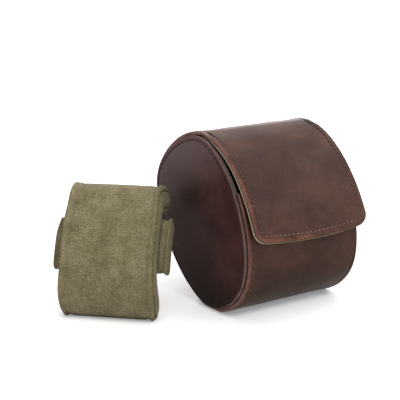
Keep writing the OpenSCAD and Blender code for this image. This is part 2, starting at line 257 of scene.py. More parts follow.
print("a cut edge is rounded to a radius of, mm:", CUT_ROUND)


# %% Closed sheets
def make_sheet(name, upper, lower, materials, worn=None, uv_mm=None, edge_r=CUT_ROUND, joints=()):
    """A closed sheet between two grids, with a rim of its own material.

    Its edges are rounded, but not at the joints: 0 is the first row of the grids, -1 the last.
    """
    rows, columns = upper.shape[:2]
    faces = grid_faces(rows, columns)
    border = np.concatenate([
        np.arange(columns), columns * np.arange(1, rows) + columns - 1,
        columns * (rows - 1) + np.arange(columns - 2, -1, -1), columns * np.arange(rows - 2, 0, -1)])
    after = np.roll(border, -1)
    below = rows * columns
    rim = np.stack([border, after, after + below, border + below], -1)
    points = np.concatenate([upper.reshape(-1, 3), lower.reshape(-1, 3)])
    all_faces = np.concatenate([faces, faces[:, ::-1] + below, rim])
    slots = np.concatenate([np.zeros(2 * len(faces)), np.ones(len(rim))])
    if worn is not None:
        worn = np.concatenate([worn.ravel(), worn.ravel()])
    if uv_mm is not None:
        flat = uv_mm.reshape(-1, 2)
        uv_mm = np.concatenate([flat, flat])[all_faces.ravel()]
    piece = make_piece(name, points, all_faces, materials, slots, worn, uv_mm)
    ends = edge_ends(piece)
    row, column = ends % below // columns, ends % columns
    same_face = (ends < below).all(1) | (ends >= below).all(1)
    along_row = (np.isin(row, (0, rows - 1))).all(1) & (row[:, 0] == row[:, 1])
    along_side = (np.isin(column, (0, columns - 1))).all(1) & (column[:, 0] == column[:, 1])
    at_joint = along_row & np.isin(row[:, 0], [joint % rows for joint in joints])
    if joints:
        sharp = piece.data.attributes.new("sharp_edge", "BOOLEAN", "EDGE")
        sharp.data.foreach_set("value", at_joint & same_face)
    if edge_r:
        round_edges(piece, (along_row | along_side) & same_face & ~at_joint, edge_r)
    return piece


# %% Spacing along a line
def spaced(first, last, gap, fine=0.0, fine_gap=0.6):
    """Places from first to last about gap apart, closer within fine of either end."""
    count = max(2, int(np.ceil((last - first - 2 * fine) / gap)) + 1)
    inner = np.linspace(first + fine, last - fine, count)
    if fine <= 0:
        return inner
    steps = np.linspace(0, fine, int(np.ceil(fine / fine_gap)) + 1)[:-1]
    return np.concatenate([first + steps, inner, (last - steps)[::-1]])


def length_along(points):
    """The length of a line of points up to each of them, from 0 at the first."""
    return np.concatenate([[0], np.cumsum(np.linalg.norm(np.diff(points, axis=0), axis=1))])


def read_off(at, run, values):
    """Rows of values, given at the places run, read off in between at the places at."""
    return np.stack([np.interp(at, run, column) for column in values.T], -1)


print("from 0 to 12, about 3 apart and finer at the ends:", spaced(0, 12, 3.0, 2.0, 1.0))

# %% [markdown]
# ## Finishes
# Each finish is one node tree. Patterns read Object coordinates, which are the same for all
# pieces because every piece sits at the origin: so the mottling of the leather runs on from
# the wrap through the bend into the flap. Cloth reads its own UV map, in metres along the
# threads. Colours are sRGB hex values, turned to linear by one function, and one function
# adds any node, so a finish reads as a list of what is mixed with what.


# %% Node helpers
def colour(hex_code):
    """An sRGB hex value as linear red, green, blue and alpha."""
    values = np.array([int(hex_code[i:i + 2], 16) / 255 for i in (1, 3, 5)])
    linear = np.where(values <= 0.04045, values / 12.92, ((values + 0.055) / 1.055) ** 2.4)
    return (*linear.tolist(), 1.0)


def feed(node, inputs):
    """Sets inputs, by name or number, each to a value or to another node's output."""
    for name, value in inputs.items():
        if isinstance(value, bpy.types.NodeSocket):
            node.id_data.links.new(value, node.inputs[name])
        else:
            node.inputs[name].default_value = value


def add(tree, kind, inputs=None, out=0, stops=(), **settings):
    """Adds a node with its settings, inputs and colour stops (place, hex value); gives one output."""
    node = tree.nodes.new("ShaderNode" + kind)
    for name, value in settings.items():
        setattr(node, name, value)
    feed(node, inputs or {})
    for number, (place, hex_code) in enumerate(stops):
        elements = node.color_ramp.elements
        element = elements[number] if number < len(elements) else elements.new(place)
        element.position = place
        element.color = colour(hex_code)
    return node.outputs[out]


def new_finish(name):
    """An empty material: itself, its node tree and its main shader."""
    material = bpy.data.materials.new(name)
    material.use_nodes = True
    return material, material.node_tree, material.node_tree.nodes["Principled BSDF"]


MULTIPLY = {"data_type": "RGBA", "blend_type": "MULTIPLY"}
print("linear red of a mid grey:", round(colour("#808080")[0], 3))

# %% [markdown]
# ### Oiled leather
# Pull-up leather is dyed through and filled with oil and wax. To the eye it is a dark, satin
# brown, mottled in patches of a few centimetres and a few millimetres. Where it is bent or
# rubbed the oil moves away and it turns lighter and redder; the "worn" value of each point
# says how near it is to an edge. Painted shade makes it darker towards the table, and a grey
# painted sheen lies high up and at the back. An Ambient Occlusion node paints shade into
# narrow places and where other parts stand near. The grain is a fine pebble of about a
# millimetre with shallow creases. A low specular level and a little sheen give the soft oiled
# shine without a white film. The ends are a darker, redder copy of the wrap's leather, the
# darkness painted shade for their shaded faces. A painted texture could show all this too;
# patterns need no painting and no UV map.

# %% Mottling of the leather
PATCH, CLOUD, FLECK = 30, 9, 1.3  # sizes of the mottling, mm
CREASE, PEBBLE = 3.2, 1.1  # sizes of the grain, mm
PATCHES_FROM = (0.053, -0.031, 0.021)  # metres; moves the patches to where they look best


def mottled(tree, where, tones):
    """Four tones by 0.65 patches + 0.35 clouds, with fine flecks. Gives the colour and the clouds."""
    patches_at = add(tree, "Mapping", {"Vector": where, "Location": PATCHES_FROM})
    patches = add(tree, "TexNoise", {"Vector": patches_at, "Scale": 1 / (PATCH * MM), "Detail": 3,
                                     "Roughness": 0.5, "Distortion": 0.3})
    clouds = add(tree, "TexNoise", {"Vector": where, "Scale": 1 / (CLOUD * MM), "Detail": 4, "Roughness": 0.55})
    flecks = add(tree, "TexNoise", {"Vector": where, "Scale": 1 / (FLECK * MM), "Detail": 3, "Roughness": 0.6})
    tone = add(tree, "Mix", {0: 0.35, 2: patches, 3: clouds}, data_type="FLOAT")
    base = add(tree, "ValToRGB", {"Fac": tone}, stops=zip((0.36, 0.47, 0.55, 0.66), tones))
    fleck_tone = add(tree, "ValToRGB", {"Fac": flecks}, stops=[(0.3, "#d5cfcc"), (0.7, "#ffffff")])
    return add(tree, "Mix", {0: 0.7, 6: base, 7: fleck_tone}, out=2, **MULTIPLY), clouds


print("sizes of the mottling, mm:", PATCH, CLOUD, FLECK)


# %% Painted shade near other parts and low down, and a painted sheen
# painted shade: how far the darkening near other surfaces reaches, and its tone
PAINTED_SHADE_REACH, PAINTED_SHADE_TONE = 2.5, "#3a302d"  # mm
# painted sheen: it grows high up, towards this direction
UP_AND_BACK = (0.0, 0.55, 0.83)  # the direction towards which the bloom grows


def painted_shade_near(tree, base, reach_mm, dark):
    """Painted shade: a colour multiplied by dark where other surfaces are near, within reach_mm, and by 1 in
    the open.
    """
    open_share = add(tree, "AmbientOcclusion", {"Distance": reach_mm * MM}, out="AO", samples=8)
    painted_shade = add(tree, "ValToRGB", {"Fac": open_share}, stops=[(0.25, dark), (0.85, "#ffffff")])
    return add(tree, "Mix", {0: 1.0, 6: base, 7: painted_shade}, out=2, **MULTIPLY)


def painted_shade_low(tree, where, base, foot):
    """Painted shade towards the table: a colour multiplied by a tone at the table, and by less and less of it
    up to a height: (tone, mm).
    """
    low_shade_tone, top = foot
    height = add(tree, "SeparateXYZ", {0: where}, out="Z")
    share = add(tree, "MapRange", {"Value": height, "From Max": top * MM})
    painted_shade = add(tree, "ValToRGB", {"Fac": share}, stops=[(0.0, low_shade_tone), (1.0, "#ffffff")])
    return add(tree, "Mix", {0: 1.0, 6: base, 7: painted_shade}, out=2, **MULTIPLY)


def add_painted_sheen(tree, where, base, painted_sheen):
    """Painted sheen: a colour mixed with a light tone from one place to another, up and back: (share, from mm,
    to mm, tone).
    """
    most, first, last, tone = painted_sheen
    place = add(tree, "VectorMath", {0: where, 1: UP_AND_BACK}, out="Value", operation="DOT_PRODUCT")
    waxed = add(tree, "MapRange", {"Value": place, "From Min": first * MM, "From Max": last * MM,
                                   "To Max": most}, interpolation_type="SMOOTHSTEP")
    return add(tree, "Mix", {0: waxed, 6: base, 7: colour(tone)}, out=2, data_type="RGBA")


print("the bloom grows towards:", UP_AND_BACK)


# %% Wear and grain
def rubbed(tree, base, clouds, worn_colour):
    """A colour turned to the worn one by the root of the worn value, its border made ragged by the clouds."""
    worn = add(tree, "Attribute", out="Fac", attribute_name="worn")
    ragged = add(tree, "Math", {0: clouds, 1: 2.4, 2: worn}, operation="MULTIPLY_ADD")
    share = add(tree, "MapRange", {"Value": ragged, "From Min": 1.4, "From Max": 2.2})
    fading = add(tree, "Math", {0: worn, 1: 0.5}, operation="POWER")
    share = add(tree, "Math", {0: share, 1: fading}, operation="MULTIPLY")
    return add(tree, "Mix", {0: share, 6: base, 7: colour(worn_colour)}, out=2, data_type="RGBA")


def pebbled_grain(tree, where):
    """Bump of the grain: pebbles, half as high as the creases, added to them."""
    pebbles = add(tree, "TexVoronoi", {"Vector": where, "Scale": 1 / (PEBBLE * MM), "Randomness": 1.0},
                  out="Distance", feature="SMOOTH_F1")
    creases = add(tree, "TexNoise", {"Vector": where, "Scale": 1 / (CREASE * MM), "Detail": 4,
                                     "Roughness": 0.65, "Distortion": 0.8})
    height = add(tree, "Math", {0: pebbles, 1: 0.5, 2: creases}, operation="MULTIPLY_ADD")
    return add(tree, "Bump", {"Height": height, "Strength": 0.25, "Distance": 0.25 * MM})


print("sizes of the grain, mm:", CREASE, PEBBLE)


# %% The two leathers
def oiled_leather(name, tones, worn_colour, roughness, specular, foot, painted_sheen, near):
    """Mottled, rubbed leather with painted shade towards the table, a painted sheen up and back, and painted
    shade where other things stand near: (mm, tone).
    """
    material, tree, shader = new_finish(name)
    where = add(tree, "TexCoord", out="Object")
    base, clouds = mottled(tree, where, tones)
    base = painted_shade_low(tree, where, base, foot)
    base = add_painted_sheen(tree, where, base, painted_sheen)
    base = rubbed(tree, base, clouds, worn_colour)
    base = painted_shade_near(tree, base, *near)
    base = painted_shade_near(tree, base, PAINTED_SHADE_REACH, PAINTED_SHADE_TONE)
    uneven = add(tree, "MapRange", {"Value": clouds, "From Min": 0.3, "From Max": 0.7,
                                    "To Min": roughness - 0.06, "To Max": roughness + 0.08})
    feed(shader, {"Base Color": base, "Normal": pebbled_grain(tree, where), "Roughness": uneven, "IOR": 1.48,
                  "Specular IOR Level": specular, "Sheen Weight": 0.22, "Sheen Tint": colour("#dccabd"),
                  "Sheen Roughness": 0.35})
    return material


# to the eye: a warm dark brown with a soft satin sheen, redder where it is rubbed; painted shade low down and
# close under things, a faint painted sheen along the top
WRAP_LEATHER = oiled_leather(
    "oiled leather, wrap", ("#44302c", "#4e3933", "#563f37", "#60463c"), "#744a3c", 0.5, 0.06,
    foot=("#93856c", 45.0), painted_sheen=(0.35, 86, 106, "#a3938f"), near=(10.0, "#b0a498"))
# to the eye: a darker, redder brown, its darkness painted shade of the ends; a painted grey sheen towards the
# top and a painted shadow, nearly black, behind the cushion
END_LEATHER_PAINTED_SHADE = oiled_leather(
    "oiled leather, ends", ("#3d2422", "#472a28", "#50322f", "#5b3b36"), "#694842", 0.42, 0.03,
    foot=("#a09a96", 50.0), painted_sheen=(0.7, 55, 98, "#7d6c6c"), near=(42.0, "#262626"))
print("nodes in a leather:", len(WRAP_LEATHER.node_tree.nodes))

# %% [markdown]
# ### Cut edges
# The edge of vegetable-tanned leather is cut with a knife and rubbed: lighter and redder
# than the face, and matt, with the layers of fibre showing as fine lines. Lines that follow
# the edge would need a UV map on every rim; fibres this fine show no direction, so plain
# noise stands in for them.

# %% Cut leather edges
# the last is how far the painted shade in narrow gaps beside a cut edge reaches
FIBRE, EDGE_PATCH, EDGE_PAINTED_SHADE_REACH = 0.7, 6, 1.5  # mm


def cut_edge(name, dark, light):
    """Rubbed cut leather: two colours mixed by half fibres, half patches, with painted shade in narrow gaps.
    The fibres are its relief too.
    """
    material, tree, shader = new_finish(name)
    where = add(tree, "TexCoord", out="Object")
    fibres = add(tree, "TexNoise", {"Vector": where, "Scale": 1 / (FIBRE * MM), "Detail": 3, "Roughness": 0.6})
    patches = add(tree, "TexNoise", {"Vector": where, "Scale": 1 / (EDGE_PATCH * MM), "Detail": 3,
                                     "Roughness": 0.5})
    tone = add(tree, "Mix", {0: 0.5, 2: fibres, 3: patches}, data_type="FLOAT")
    base = add(tree, "ValToRGB", {"Fac": tone}, stops=[(0.35, dark), (0.65, light)])
    bump = add(tree, "Bump", {"Height": fibres, "Strength": 0.4, "Distance": 0.15 * MM})
    feed(shader, {"Base Color": painted_shade_near(tree, base, EDGE_PAINTED_SHADE_REACH, "#2a211f"), "Normal": bump,
                  "Roughness": 0.62})
    return material


# to the eye: thin, lighter and redder lines along every border
WRAP_EDGE = cut_edge("cut leather edge, wrap", "#5f4036", "#8a6556")
DISC_EDGE = cut_edge("cut leather edge, ends", "#4c3937", "#7a615c")
WELT_LEATHER = cut_edge("split leather, welts", "#5a3d33", "#7d5a4b")
print("cut edges:", [material.name for material in (WRAP_EDGE, DISC_EDGE, WELT_LEATHER)])

# %% [markdown]
# ### Canvas
# The cushion and the lining are a heathered cotton canvas in olive. A plain weave crosses
# warp and weft: each thread goes over one and under the next. The real threads are about
# 0.45 mm apart; here they are 0.8 mm apart so that they show. Each thread has thick and
# thin stretches of its own, and flecks of undyed fibre sit among the green, which gives the
# cloth its uneven look from afar. The weave could be modelled thread by thread, but at this
# distance a pattern on the cloth's own UV map looks the same and costs nothing.

# %% Plain weave
THREAD_GAP = 0.8  # mm; coarser than the real 0.45
# the last is how far the painted shade in the cloth's creases, and near other parts, reaches
SPECKLE, CANVAS_CLOUD, CANVAS_PAINTED_SHADE_REACH = 0.9, 9, 4.0  # mm
SLUB = 0.09  # how much slower a thread's thickness changes along it than across


def plain_weave(tree):
    """Of a plain weave, the ridge of the upper thread, |sin|, and its own slubs.

    The warp is on top where the numbers of the two threads add up to an even number.
    """
    flat = add(tree, "UVMap", uv_map="cloth")
    threads = add(tree, "VectorMath", {0: flat, "Scale": 1 / (THREAD_GAP * MM)}, operation="SCALE")
    across = add(tree, "SeparateXYZ", {0: threads}, out="X")
    along = across.node.outputs["Y"]
    ridges, numbers, slubs = [], [], []
    for axis, stretch in ((across, (1.0, SLUB, 1.0)), (along, (SLUB, 1.0, 1.0))):
        half_turns = add(tree, "Math", {0: axis, 1: np.pi}, operation="MULTIPLY")
        wave = add(tree, "Math", {0: half_turns}, operation="SINE")
        ridges.append(add(tree, "Math", {0: wave}, operation="ABSOLUTE"))
        numbers.append(add(tree, "Math", {0: axis}, operation="FLOOR"))
        drawn_out = add(tree, "VectorMath", {0: threads, 1: stretch}, operation="MULTIPLY")
        slubs.append(add(tree, "TexNoise", {"Vector": drawn_out, "Scale": 0.9, "Detail": 2.0}))
    cell = add(tree, "Math", {0: numbers[0], 1: numbers[1]}, operation="ADD")
    weft_over = add(tree, "Math", {0: cell, 1: 2.0}, operation="FLOORED_MODULO")
    return [add(tree, "Mix", {0: weft_over, 2: warp, 3: weft}, data_type="FLOAT")
            for warp, weft in (ridges, slubs)]


print("threads per centimetre:", 10 / THREAD_GAP)


# %% The canvases
def canvas(name, dark, body, light, painted_crease_shade):
    """Woven cotton: three tones by 0.25 slubs + 0.3 clouds + 0.45 speckle, with painted shade between the
    threads and in creases.
    """
    material, tree, shader = new_finish(name)
    ridge, slubs = plain_weave(tree)
    where = add(tree, "TexCoord", out="Object")
    speckle = add(tree, "TexNoise", {"Vector": where, "Scale": 1 / (SPECKLE * MM), "Detail": 2,
                                     "Roughness": 0.7})
    clouds = add(tree, "TexNoise", {"Vector": where, "Scale": 1 / (CANVAS_CLOUD * MM), "Detail": 4,
                                    "Roughness": 0.6})
    tone = add(tree, "Mix", {0: 0.3 / 0.55, 2: slubs, 3: clouds}, data_type="FLOAT")
    tone = add(tree, "Mix", {0: 0.45, 2: tone, 3: speckle}, data_type="FLOAT")
    base = add(tree, "ValToRGB", {"Fac": tone}, stops=[(0.38, dark), (0.5, body), (0.62, light)])
    # painted shade in the hollows between the threads
    painted_shade = add(tree, "ValToRGB", {"Fac": ridge}, stops=[(0.0, "#b9b5a8"), (0.6, "#ffffff")])
    base = add(tree, "Mix", {0: 0.8, 6: base, 7: painted_shade}, out=2, **MULTIPLY)
    height = add(tree, "Math", {0: slubs, 1: 1.2, 2: ridge}, operation="MULTIPLY_ADD")
    bump = add(tree, "Bump", {"Height": height, "Strength": 0.6, "Distance": 0.2 * MM})
    feed(shader, {"Base Color": painted_shade_near(tree, base, CANVAS_PAINTED_SHADE_REACH, painted_crease_shade), "Normal": bump,
                  "Roughness": 0.92, "Specular IOR Level": 0.25, "Sheen Weight": 0.12, "Sheen Roughness": 0.6})
    return material


# to the eye: matt olive flecked with cream; the cushion's ends a darker, browner copy that is painted shade; a
# pale line at a raw edge
CANVAS = canvas("cotton canvas, cushion", "#62583a", "#857a58", "#a2977a", "#6b6038")
END_CANVAS_PAINTED_SHADE = canvas("cotton canvas, cushion ends", "#5a532f", "#7a6f47", "#968a60", "#6b6038")
LINING_CANVAS = canvas("cotton canvas, lining", "#6d6243", "#8d8160", "#a89d7e", "#8a8468")
# the raw edge is paler as cut canvas is, and lightened further as painted light where it lies in the flap's
# shade
RAW_EDGE = canvas("cotton canvas, raw edge", "#b3a487", "#d0c0a3", "#e6dbc6", "#cbbd9f")
print("nodes in a canvas:", len(CANVAS.node_tree.nodes))

# %% [markdown]
# ### Thread, greyboard and steel
# The sewing thread is waxed and twisted, with a dull shine; the stiffening is greyboard,
# matt and specked; the magnets are plated steel. The last two are hidden inside the walls
# and show only where a wall is cut open, so a plain finish with a little tone will do.


# %% Thread, greyboard and steel
def waxed_thread(name, dark, light):
    """Two tones in stretches of 0.8 mm, with a twist of 0.25 mm as relief, too fine to show as a spiral."""
    material, tree, shader = new_finish(name)
    where = add(tree, "TexCoord", out="Object")
    tone = add(tree, "TexNoise", {"Vector": where, "Scale": 1 / (0.8 * MM), "Detail": 2, "Roughness": 0.55})
    base = add(tree, "ValToRGB", {"Fac": tone}, stops=[(0.35, dark), (0.65, light)])
    twist = add(tree, "TexNoise", {"Vector": where, "Scale": 1 / (0.25 * MM), "Detail": 2, "Roughness": 0.55})
    bump = add(tree, "Bump", {"Height": twist, "Strength": 0.5, "Distance": 0.1 * MM})
    feed(shader, {"Base Color": base, "Normal": bump, "Roughness": 0.55, "Specular IOR Level": 0.1})
    return material


def plain_finish(name, dark, light, size_mm, roughness, metallic=0.0):
    """Two tones in patches of about size_mm."""
    material, tree, shader = new_finish(name)
    where = add(tree, "TexCoord", out="Object")
    tone = add(tree, "TexNoise", {"Vector": where, "Scale": 1 / (size_mm * MM), "Detail": 4, "Roughness": 0.55})
    base = add(tree, "ValToRGB", {"Fac": tone}, stops=[(0.3, dark), (0.7, light)])
    feed(shader, {"Base Color": base, "Roughness": roughness, "Metallic": metallic})
    return material


# to the eye: rows of small raised dashes, a little lighter or darker than the leather they sew; the darkest
# copy is painted shade for the round ends
LEATHER_THREAD = waxed_thread("waxed thread, mauve brown", "#5e463f", "#866c62")
MIDDLE_THREAD = waxed_thread("waxed thread, middle brown", "#4e3a35", "#6d564f")
PAINTED_SHADE_THREAD = waxed_thread("waxed thread, dark brown", "#33211f", "#46322e")
CANVAS_THREAD = waxed_thread("waxed thread, olive", "#2e2816", "#4c432a")
# to the eye: a plain grey and a plain metal, seen only where a wall is cut open
GREYBOARD = plain_finish("greyboard", "#83796c", "#978d80", 1.5, 0.9)
PLATED_STEEL = plain_finish("plated steel", "#aeb2b6", "#c4c8cb", 4, 0.3, 1.0)

hidden = {"board": GREYBOARD, "magnets": PLATED_STEEL, "welt": WELT_LEATHER}
for node_name, node_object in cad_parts.items():
    for word, finish in hidden.items():
        if word in node_name:
            node_object.data.materials.clear()
            node_object.data.materials.append(finish)
print("finishes:", len(bpy.data.materials))

# %% [markdown]
# ## The leather wrap
# One strip of leather makes the front panel, the bottom, the back, the top and the flap. It
# is split in three here, because the flap moves: the part round the case, the bend, and the
# flap. All three come from the same formula and meet edge to edge, and their ends are left
# unrounded there, so no joint shows. A stitch pulls the leather in a little, which is a
# shallow furrow along each seam. Sculpting would give livelier leather, but a few slow
# waves in a formula run on without a break from one part into the next.


# %% Surface of the leather
def hand_made(a, x):
    """Leather is never quite even: a sum of three slow waves of about a tenth of a millimetre."""
    return (0.10 * np.sin(3.1 * a + 0.05 * x) + 0.07 * np.sin(0.21 * x + 2.3 * a)
            + 0.05 * np.sin(7.3 * a - 0.13 * x + 1.0))


def furrow(distance, depth=0.3, width=0.75):
    """A seam's furrow: a bell curve of the distance from the stitches, in mm."""
    return depth * np.exp(-(distance / width) ** 2)


def wear(distance, reach_mm=2.6):
    """How worn the leather is: it falls as a power from 1 at an edge to 0 at reach_mm inside."""
    return np.clip(1 - distance / reach_mm, 0, 1) ** 0.8


def rubbed_side(x):
    """The case is held and rubbed more at its left side: the wear counts in full there, 0.3 on the right."""
    return 0.65 - 0.35 * np.sign(x)


print("the waves differ by, mm:", np.ptp(hand_made(np.linspace(0, 6, 200), 0.0)).round(2))


# %% Layers of a strip
def placed(x, line, normal, out):
    """Points at x along the case, on a line [y, z], moved out along its normal. All in mm."""
    yz = line + normal * out[..., None]
    return np.concatenate([x[..., None], yz], -1)


def strip_layer(line, a, x, out):
    """A grid of points: rows at the angles a on a line, columns at x, moved out by out mm."""
    angles = np.broadcast_to(a[:, None], (len(a), len(x)))
    across = np.broadcast_to(x[None, :], angles.shape)
    points = placed(across, line(angles), outward(angles), np.broadcast_to(out, angles.shape))
    points[..., 2] = np.maximum(points[..., 2], 0)  # nothing sinks under the table
    return points


# %% A strip of the full width
COLUMN_GAP, ROW_GAP = 3.0, 2.2  # mm between the points of a grid
FINE_WITHIN, FINE_GAP = 6.0, 0.5  # closer near an edge, for the seam
columns_x = spaced(-WRAP_HALF, WRAP_HALF, COLUMN_GAP, FINE_WITHIN, FINE_GAP)
edge_distance = WRAP_HALF - np.abs(columns_x)
side_furrow = furrow(edge_distance - SEAM_INSET)


def wrap_strip(name, line, angles, end_distance, joints):
    """A leather strip of the full width over the given angles; end_distance is to its free end."""
    across = np.broadcast_to(columns_x[None, :], (len(angles), len(columns_x)))
    near = np.minimum(end_distance[:, None], edge_distance[None, :])
    out = hand_made(angles[:, None], across) - side_furrow[None, :]
    out = out - furrow(end_distance - SEAM_INSET)[:, None] * (edge_distance > SEAM_INSET)[None, :]
    upper = strip_layer(line, angles, columns_x, out)
    lower = strip_layer(line, angles, columns_x, -LEATHER + 0 * out)
    lower[..., 2] = np.maximum(lower[..., 2], 0.5 * LEATHER)  # pressed flat at the foot, to half
    worn = wear(near) * rubbed_side(across)
    return make_sheet(name, upper, lower, [WRAP_LEATHER, WRAP_EDGE], worn, joints=joints)


print("columns across the wrap:", len(columns_x))


# %% The strip round the case
def run_of(line, angles):
    """Length along a line from its first angle, in mm."""
    return length_along(line(angles))


dense = np.linspace(HINGE + BEND_TURN, PANEL_EDGE, 4000)
dense_run = run_of(case_line, dense)
wrap_run = spaced(0, dense_run[-1], ROW_GAP, FINE_WITHIN, FINE_GAP)
wrap_angles = np.interp(wrap_run, dense_run, dense)
case_skin = wrap_strip("case_skin", case_line, wrap_angles, dense_run[-1] - wrap_run, joints=(0,))
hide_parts("body_leather")
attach(case_skin, "case")
print("leather round the case, mm:", round(dense_run[-1]))

# %% [markdown]
# ## The flap
# The flap is cut with a slightly curved lower edge and rounded corners. Its grid runs from
# the bend down to that edge: each column starts at the bend and ends on the edge curve,
# which has the two corners as arcs. The outline is drawn flat on the plane of the flap's tip
# and then laid on the curve. Cutting the shape out of a plain strip with a Boolean would
# leave ragged faces along the cut, just where the rounded edge catches the light.

# %% Flap outline
FLAP_HALF = WRAP_HALF - 0.4
FLAP_FLARE = 0.8  # how much wider it is at its tip, to each side
FLAP_TIP_HALF = FLAP_HALF + FLAP_FLARE
EDGE_R = 265.0  # radius of the curved lower edge
CORNER_R = 7.0
CORNER_X = FLAP_TIP_HALF - CORNER_R
CORNER_UP = EDGE_R - np.sqrt((EDGE_R - CORNER_R) ** 2 - CORNER_X ** 2)
EDGE_TURN = np.arcsin(CORNER_X / (EDGE_R - CORNER_R))
tip_point = flap_line(np.array(TIP))
tip_up = np.array([np.sin(TIP), np.cos(TIP)])
flap_end_angle = HINGE - BEND_TURN
root_rise = np.linalg.norm(flap_line(np.array(HINGE)) - tip_point)

flap_dense = np.linspace(TIP - 0.12, flap_end_angle, 3000)  # from a little past the tip
flap_dense_rise = (flap_line(flap_dense) - tip_point) @ tip_up
ROOT_V = flap_dense_rise[-1]
print("the flap's root lies over its tip by, mm:", ROOT_V.round(1))


# %% Border and sides of the flap
def corner_arc(side, r, a):
    """Points [x, v] of a lower corner, left for side -1 and right for 1: an arc of radius r at angles a."""
    return np.stack([side * CORNER_X + r * np.cos(a), CORNER_UP + r * np.sin(a)], -1)


def flap_border(inset):
    """The flap's lower border as points [x, v], corner, edge, corner, inset by so many mm."""
    r = CORNER_R - inset
    left = np.linspace(np.pi, 1.5 * np.pi - EDGE_TURN, 9)
    right = np.linspace(EDGE_TURN - np.pi / 2, 0, 9)
    turn = np.linspace(-EDGE_TURN, EDGE_TURN, 31)[1:-1]
    edge = np.stack([(EDGE_R - inset) * np.sin(turn), EDGE_R - (EDGE_R - inset) * np.cos(turn)], -1)
    return np.concatenate([corner_arc(-1, r, left), edge, corner_arc(1, r, right)])


def flap_side(v, inset):
    """Half the flap's width at height v, where its sides run straight."""
    share = (v - CORNER_UP) / (root_rise - CORNER_UP)
    return FLAP_TIP_HALF + (FLAP_HALF - FLAP_TIP_HALF) * share - inset


def flap_angle(v):
    """The angle on the flap's line at height v over its tip."""
    return np.interp(v, flap_dense_rise, flap_dense)


border = flap_border(0.0)
border_run = length_along(border)
share_across = 2 * border_run / border_run[-1] - 1
print("flap's free height and width, mm:", round(ROOT_V), round(2 * FLAP_TIP_HALF))


# %% Flap grid
def flap_grid(rim_inset, top_inset):
    """Points [x, v] of the flap: rows from the bend to the border, closer together near it.

    How far down a row lies grows like 1 less an exponential of its number.
    """
    rim = flap_border(rim_inset)
    row_down = 1 - np.exp(-np.linspace(0, 3.2, 40))
    down = row_down / row_down[-1]
    top = np.stack([share_across * flap_side(ROOT_V, top_inset), np.full(len(rim), ROOT_V)], -1)
    return top[None] + (rim - top)[None] * down[:, None, None]


def distance_inside(x, v):
    """Distance to the flap's free edge: the nearest of its sides, its curved edge and its corners."""
    side = flap_side(v, 0) - np.abs(x)
    edge = EDGE_R - np.hypot(x, v - EDGE_R)
    corner = CORNER_R - np.hypot(np.abs(x) - CORNER_X, v - CORNER_UP)
    in_corner = (np.abs(x) > CORNER_X) & (v < CORNER_UP)
    return np.maximum(np.where(in_corner, corner, np.minimum(side, edge)), 0)


def flap_points(grid, out):
    """The flap's flat points [x, v] laid on its curved line and moved out by out mm."""
    a = flap_angle(grid[..., 1])
    return placed(grid[..., 0], flap_line(a), outward(a), out)


flat = flap_grid(0.0, 0.0)
inside = distance_inside(flat[..., 0], flat[..., 1])
flap_out = hand_made(flap_angle(flat[..., 1]), flat[..., 0]) - furrow(inside - SEAM_INSET)
flap_worn = wear(inside, reach_mm=3.2) * rubbed_side(flat[..., 0])
flap_skin = make_sheet("flap_skin", flap_points(flat, flap_out), flap_points(flat, 0 * flap_out - LEATHER),
                       [WRAP_LEATHER, WRAP_EDGE], flap_worn, joints=(0,))
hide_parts("flap_leather")
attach(flap_skin, "flap")
print("points of the flap's leather:", len(flap_skin.data.vertices))

# %% [markdown]
# ## The bend
# Between the case and the flap the same leather bends, about 7 mm to each side of the
# hinge line.

# %% The bend
bend_angles = np.linspace(HINGE - BEND_TURN, HINGE + BEND_TURN, 25)
far_away = np.full(len(bend_angles), 99.0)  # the bend has no free end to be worn or sewn
BEND_SHARE = 0.94  # the leather turns over this much of the bend, just under its surface
BEND_DEPTH = 1.0


def bend_line(a, depth=0.0):
    """The flap's line in front of the hinge, and the case's line behind it; they meet there."""
    return np.where((a < HINGE)[..., None], flap_line(a, depth), case_line(a, depth))


bend_start = case_line(np.array(HINGE + BEND_SHARE * BEND_TURN), BEND_DEPTH) * MM
bend_end = flap_line(np.array(HINGE - BEND_SHARE * BEND_TURN), BEND_DEPTH) * MM


def across_the_bend(piece):
    """Bakes the placement of a piece into its mesh; its points are not turned between case and flap."""
    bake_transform(piece)


bend_skin = wrap_strip("bend_skin", bend_line, bend_angles, far_away, joints=(0, -1))
across_the_bend(bend_skin)
print("length of the bend, mm:", round(2 * BEND_HALF, 1))

# %% [markdown]
# ## The lining
# The canvas is glued to the inside of the leather, over the board. At the flap's free edge,
# where the board stops short, it is drawn up to the leather; in the bend, where there is no
# board, it sinks on to the leather. A cloth simulation would be wasted here, because glue
# holds every point of it.


# %% Canvas inside the case
def lining_sheet(name, line, angles, depth):
    """Canvas on the inside of a line, its upper side depth mm below it; with its length along the line."""
    x = spaced(-LINING_HALF, LINING_HALF, COLUMN_GAP)
    upper = strip_layer(line, angles, x, -depth[:, None] + 0 * x[None, :])
    lower = strip_layer(line, angles, x, -depth[:, None] - LINING + 0 * x[None, :])
    run = run_of(line, angles)
    uv = np.stack(np.broadcast_arrays(x[None, :], run[:, None]), -1)
    return make_sheet(name, upper, lower, [LINING_CANVAS, LINING_CANVAS], uv_mm=uv, edge_r=0), run[-1]


case_depth = np.full(len(wrap_angles), LINING_TOP)
case_cloth, cloth_run = lining_sheet("case_cloth", case_line, wrap_angles, case_depth)
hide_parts("body_lining")
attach(case_cloth, "case")
inner_run = run_of(lambda a: case_line(a, LINING_TOP + LINING / 2), wrap_angles)[-1]

